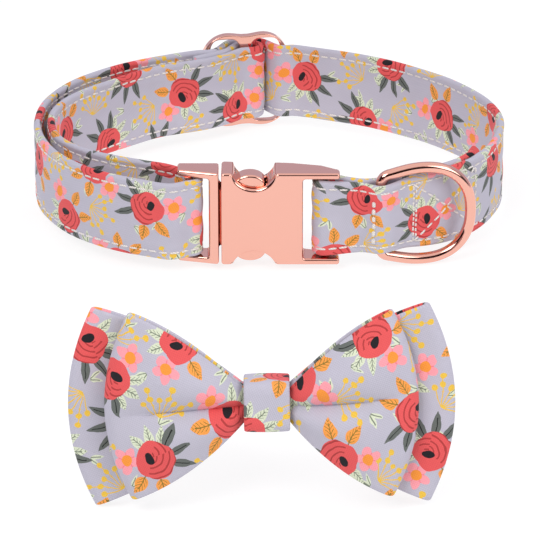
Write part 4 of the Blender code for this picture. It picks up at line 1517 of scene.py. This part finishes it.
@dataclass
class BowTie:
    """The bow tie: two flattened cloth loops, a knot band and an elastic loop behind."""

    sizes: Hardware
    centre: Vector
    cloth: float = 1.4 * MM
    pinch_half_height: float = 4.1 * MM
    pinch_space: float = 0.8 * MM
    # Half width and half height of each loop
    front_size: tuple[float, float] = (41.0 * MM, 25.4 * MM)
    back_size: tuple[float, float] = (50.85 * MM, 27.1 * MM)
    puff: float = 7.0 * MM
    back_puff: float = 5.25 * MM
    end_bow: float = 6.9 * MM
    left_extra: float = 1.4 * MM
    pleat: float = 0.5 * MM
    pleat_length: float = 9.0 * MM
    pleat_fan: float = 0.75
    knot_width: float = 12.2 * MM
    knot_cloth: float = 1.2 * MM
    knot_power: float = 6.0
    knot_belly: float = 0.03
    band_width: float = 6.0 * MM
    band_thick: float = 1.2 * MM
    loop_space: float = 2.0 * MM
    loop_share: float = 0.8
    back_drop: float = 1.0 * MM
    lean: float = math.radians(12.0)
    tilt: float = math.radians(0.8)
    # A wing's shape, in shares of its half height and of its length
    flare_bulge: float = 0.45
    tip_power: float = 0.85
    tip_round: float = 0.06
    swell_power: float = 0.8
    edge_flat: float = 0.75
    end_swell: float = 0.12
    crease_climb: float = 0.10
    crease_sharp: float = 0.15
    crease_soft: float = 0.38
    crease_mix: float = 0.6
    crease_fade: float = 0.3
    crease_depth: float = 0.97
    # Share of its rectangle that a loop's cut fills
    cut_share: float = 0.8
    # Points round each loop, and across each of its faces
    wing_grid: tuple[int, int] = (288, 61)
    knot_grid: tuple[int, int] = (96, 21)
    loop_grid: tuple[int, int] = (96, 13)

    def __post_init__(self) -> None:
        """Work out the sizes that follow."""
        self.layer_half = self.cloth + self.pinch_space / 2
        self.stack_half = 2 * self.layer_half + self.sizes.gap + self.pleat

    def to_space(self, points: Array) -> Array:
        """Tilt the bow's own points, lean them back and set them in place."""
        turn = Matrix.Rotation(-self.lean, 3, "X") @ Matrix.Rotation(-self.tilt, 3, "Y")
        return points @ np.array(turn).T + np.array(self.centre)

    def wing(self, half_width: float, half_height: float, plane: float, front_puff: float,
             back_puff: float, drop: float) -> Callable[[Array, Array], Array]:
        """Return the function that gives the middle surface of one loop.

        Once round the loop is the angle: its cosine carries a point from one wing
        end to the other and its sine's sign says front or back. A wing's half height
        grows from the pinch by s (1 + bulge (1 − s)) of its flare, s from 0 at the
        knot to 1 at the end. The cloth puffs out by a sine of s, less towards the
        edges, and a crease at mid height, sharp inside a soft one, dies out along the
        wing. Pleats fan out from the knot.

        Args:
            half_width: half the loop's length.
            half_height: half the height of its ends.
            plane: its middle's distance behind the bow's own.
            front_puff: how far its front swells.
            back_puff: how far its back swells.
            drop: how far its ends hang below the knot.

        Returns:
            Function from turn once round and place across, -1 to 1, to points.
        """
        pinch = self.layer_half - self.cloth / 2
        hidden = self.knot_width / 2 + self.sizes.gap

        def place(around: Array, up: Array) -> Array:
            angle = 2 * np.pi * around
            reach = np.cos(angle)
            front = np.sin(angle) >= 0
            span = half_width - np.sign(reach) * self.left_extra - self.end_bow * up ** 2
            x = power_wave(reach, self.tip_power) * span
            share = np.clip((np.abs(x) - hidden) / (span - hidden), 0, 1)
            flare = share * (1 + self.flare_bulge * (1 - share))
            z = up * (self.pinch_half_height + (half_height - self.pinch_half_height) * flare)
            swell = np.sin(np.pi * share ** self.swell_power) * (1 - self.edge_flat * up ** 2)
            swell += self.end_swell * share
            drift = up - self.crease_climb * share * np.sign(x)
            sharp = np.exp(-np.abs(drift) / self.crease_sharp)
            soft = np.exp(-(drift / self.crease_soft) ** 2)
            crease = self.crease_mix * sharp + (1 - self.crease_mix) * soft
            crease *= np.clip(1 - share, 0, 1) ** self.crease_fade
            swell *= 1 - self.crease_depth * crease
            lift = pinch + np.where(front, front_puff, back_puff) * swell
            past = np.clip((np.abs(reach) - 1 + self.tip_round) / self.tip_round, 0, 1)
            rounding = np.sqrt(np.clip(1 - past ** 2, 0, 1))
            beside = np.clip(np.abs(x) - hidden, 0, None)
            fan = z / (self.pinch_half_height + self.pleat_fan * beside)
            fold = np.cos(2 * np.pi * fan) * np.exp(-beside / self.pleat_length)
            y = plane + self.pleat * fold + np.where(front, -lift, lift) * rounding
            return np.stack([x, y, z - drop * share], -1)

        return place

    def band(self, name: str, surface: Callable[[Array, Array], Array], half: float, thick: float,
             grid: tuple[int, int], print_shift: tuple[float, float],
             upright: bool = False) -> bpy.types.Object:
        """Give a closed loop of cloth its thickness, with round edges.

        The sleeve's profile gives each point's place across the loop and its
        distance from the middle surface, along the normal there: the cross product
        of the surface's two steps. That points out of an upright loop and into the
        others, and the print lies straight on the face that shows.

        Args:
            name: the object's name.
            surface: the middle surface, from turn once round and place across.
            half: half the loop's width, for the profile's shares.
            thick: thickness of the cloth.
            grid: points round the loop, and across each face.
            print_shift: where on the printed cloth it is cut from, mm.
            upright: whether the loop runs up and down, and not from side to side.

        Returns:
            The loop.
        """
        around, across = grid
        wide, out = sleeve_profile(2 * half, thick, across, 6)
        limit = half - thick / 2
        share = np.clip(wide / limit, -1, 1)
        beyond = wide - share * limit
        turn, up = np.meshgrid(np.linspace(0, 1, around + 1), share * limit / half, indexing="ij")
        middle = surface(turn, up)
        tiny = 1e-4
        lower, upper = np.clip(up - tiny, -1, 1), np.clip(up + tiny, -1, 1)
        along = unit(surface(turn + tiny, up) - surface(turn - tiny, up))
        upward = unit(surface(turn, upper) - surface(turn, lower))
        normal = unit(np.cross(along, upward))
        points = middle + normal * out[:, None] + upward * beyond[:, None]

        level = 0 if upright else 2
        flat = np.delete(middle, level, axis=-1)
        along_run = run_length(flat)
        along_run -= along_run[around // 4][None, :]
        rise = middle[..., level]
        shown = (out >= 0 if upright else out < 0)[None, :]
        rise = np.where(shown, rise, 2 * rise.max(axis=1)[:, None] - rise)
        uv = np.stack([along_run / MM + print_shift[0], rise / MM + print_shift[1]], -1)
        quads, corners = grid_faces(around, len(wide) - 1, True, True)
        return mesh_object(name, self.to_space(points[:-1, :-1]), quads.tolist(),
                           uv.reshape(-1, 2)[corners.ravel()])

    def knot_half(self, inside: float) -> float:
        """Give the knot band's half depth or height, its corners clear of what is inside."""
        return (inside + 3 * self.sizes.gap) * 2 ** (1 / self.knot_power) + self.knot_cloth / 2

    def knot_surface(self, around: Array, across: Array) -> Array:
        """Give the knot band's middle surface.

        It is a superellipse seen from the side, a little fuller at the middle of
        its width.
        """
        angle = 2 * np.pi * around
        belly = 1 + self.knot_belly * (1 - across ** 2)
        wave = 2 / self.knot_power
        depth, height = self.knot_half(self.stack_half), self.knot_half(self.pinch_half_height)
        return np.stack([across * self.knot_width / 2,
                         power_wave(np.cos(angle), wave) * depth * belly,
                         power_wave(np.sin(angle), wave) * height * belly], -1)

    def loop_surface(self, around: Array, across: Array) -> Array:
        """Give the middle surface of the relaxed elastic loop behind the knot.

        From the side it is two upright lines joined by half circles.
        """
        radius = (self.loop_space + self.band_thick) / 2
        back = self.knot_half(self.stack_half) * (1 + self.knot_belly) + self.knot_cloth / 2
        rise = 1j * (self.knot_half(self.pinch_half_height) * self.loop_share - radius)
        half_turn = radius * np.exp(1j * np.linspace(0, np.pi, 33))
        line = np.concatenate([half_turn + rise, -half_turn - rise, [radius + rise]])
        line += back + self.sizes.gap + self.band_thick / 2 + radius
        run = run_length(line)
        place = np.interp(np.mod(around, 1.0) * run[-1], run, line)
        return np.stack([across * self.band_width / 2, place.real, place.imag], -1)

    def build(self, finishes: Finishes) -> None:
        """Make the loops, the knot and the elastic."""
        offset = self.layer_half + self.sizes.gap
        plans = (
            ("front_wings", "bow_front", self.front_size, (-offset, self.puff, 0.0, 0.0),
             (4.0, 8.0)),
            ("back_wings", "bow_back", self.back_size,
             (offset, 0.0, self.back_puff, self.back_drop), (71.0, 40.0)))
        for name, node, (wide, tall), form, shift in plans:
            surface = self.wing(wide, tall, *form)
            loop = self.band(name, surface, tall, self.cloth, self.wing_grid, shift)
            dress(loop, finishes.cotton, Body.COLLAR, Slot.BOW, node)
        knot = self.band("knot_band", self.knot_surface, self.knot_width / 2, self.knot_cloth,
                         self.knot_grid, (150.0, 10.0), upright=True)
        dress(knot, finishes.cotton, Body.COLLAR, Slot.BOW, "bow_knot")
        turn = np.linspace(0, 1, self.knot_grid[0] + 1)
        girth = run_length(self.knot_surface(turn, np.zeros_like(turn)))[-1]
        elastic = self.band("elastic_loop", self.loop_surface, self.band_width / 2,
                            self.band_thick, self.loop_grid, (0.0, 0.0), upright=True)
        dress(elastic, finishes.elastic, Body.COLLAR, Slot.ELASTIC, "bow_loop")


@dataclass(frozen=True)
class Studio:
    """White sweep of floor, soft lights and the camera at the photograph's angle."""

    camera_place: tuple[float, float, float] = (0.00036, -1.0362, 0.4762)
    camera_tilt: float = 65.717
    lens: float = 253.53
    wall: str = "#C8C9DC"
    dark: str = "#2E2224"
    ceiling: str = "#F4F2F4"

    def build(self) -> None:
        """Set up the floor, the lights, the surroundings and the camera."""
        self.add_floor()
        self.add_camera()
        self.add_surroundings()
        self.add_light("key", (-0.45, -0.75, 0.85), 0.55, 6.0)
        self.add_light("fill", (0.7, -0.55, 0.55), 0.6, 3.5)
        bpy.context.scene.view_settings.view_transform = "Standard"

    def add_floor(self) -> None:
        """Lay a plain pale floor."""
        reach = 3.0
        corners = np.array([[-reach, -reach, 0], [reach, -reach, 0], [reach, reach, 0],
                            [-reach, reach, 0]], dtype=float)
        floor = mesh_object("floor", corners, [[0, 1, 2, 3]])
        # Opal acrylic of a light table, lit from below, which washes out most shadows
        paint, _ = new_material("opal_acrylic", {
            "Base Color": (0.25, 0.25, 0.25, 1.0), "Roughness": 0.9, "Specular IOR Level": 0.0,
            "Emission Color": linear("#FFFFFF"), "Emission Strength": 0.8})
        floor.data.materials.append(paint)

    def add_camera(self) -> None:
        """Set the camera."""
        lens = bpy.data.cameras.new("camera")
        lens.lens = self.lens
        lens.sensor_width = 36.0
        camera = bpy.data.objects.new("camera", lens)
        camera.location = self.camera_place
        camera.rotation_euler = (math.radians(self.camera_tilt), 0.0, 0.0)
        bpy.context.scene.collection.objects.link(camera)
        bpy.context.scene.camera = camera

    def add_light(self, name: str, place: tuple[float, float, float], size: float,
                  power: float) -> None:
        """Add a soft square light that faces the object.

        Args:
            name: the light's name.
            place: where it hangs.
            size: its side, in metres.
            power: its power, in watts.
        """
        lamp = bpy.data.lights.new(name, "AREA")
        lamp.size = size
        lamp.energy = power
        light = bpy.data.objects.new(name, lamp)
        light.location = place
        light.rotation_euler = (-Vector(place)).to_track_quat("-Z", "Y").to_euler()
        bpy.context.scene.collection.objects.link(light)

    def add_surroundings(self) -> None:
        """Surround the scene with a studio: a pale wall behind, a bright ceiling and
        a dark room in front, which gives the metal its dark edges."""
        world = bpy.data.worlds.new("studio")
        world.use_nodes = True
        bpy.context.scene.world = world
        tree = world.node_tree
        direction = add_node(tree, "TexCoord")
        depth, height = (add_node(tree, "SeparateXYZ", direction, out=axis) for axis in (1, 2))
        in_front = add_node(tree, "MapRange", depth, -0.3, 0.05, 1.0, 0.0)
        room = blend(tree, in_front, linear(self.wall), linear(self.dark))
        overhead = add_node(tree, "MapRange", height, 0.62, 0.74, 0.0, 1.0)
        colour = blend(tree, overhead, room, linear(self.ceiling))
        tree.links.new(colour, tree.nodes["Background"].inputs["Color"])


def main() -> None:
    """Build the sub-assemblies in order."""
    logging.basicConfig(level=logging.INFO, format="%(name)s: %(message)s")
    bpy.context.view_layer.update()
    finishes = Finishes(PrintedCotton().build(), RoseGoldPlate().build(), SewingThread().build(),
                        WovenElastic().build())
    sizes = Hardware()
    joint = Vector(frame["joints"][0]["pos_m"])
    bar = complex(joint.x, joint.y)
    place = bar - sizes.ring_bar()
    low, high = (Vector(corner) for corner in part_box("bow_knot"))

    Studio().build()
    Strap(sizes, place, joint.z).build(finishes)
    Buckle(sizes, place, joint.z).build(finishes)
    LeashRing(sizes, bar, joint.z).build(finishes)
    Slider(sizes, place, joint.z).build(finishes)
    BowTie(sizes, (low + high) / 2).build(finishes)


if __name__ == "__main__":
    main()
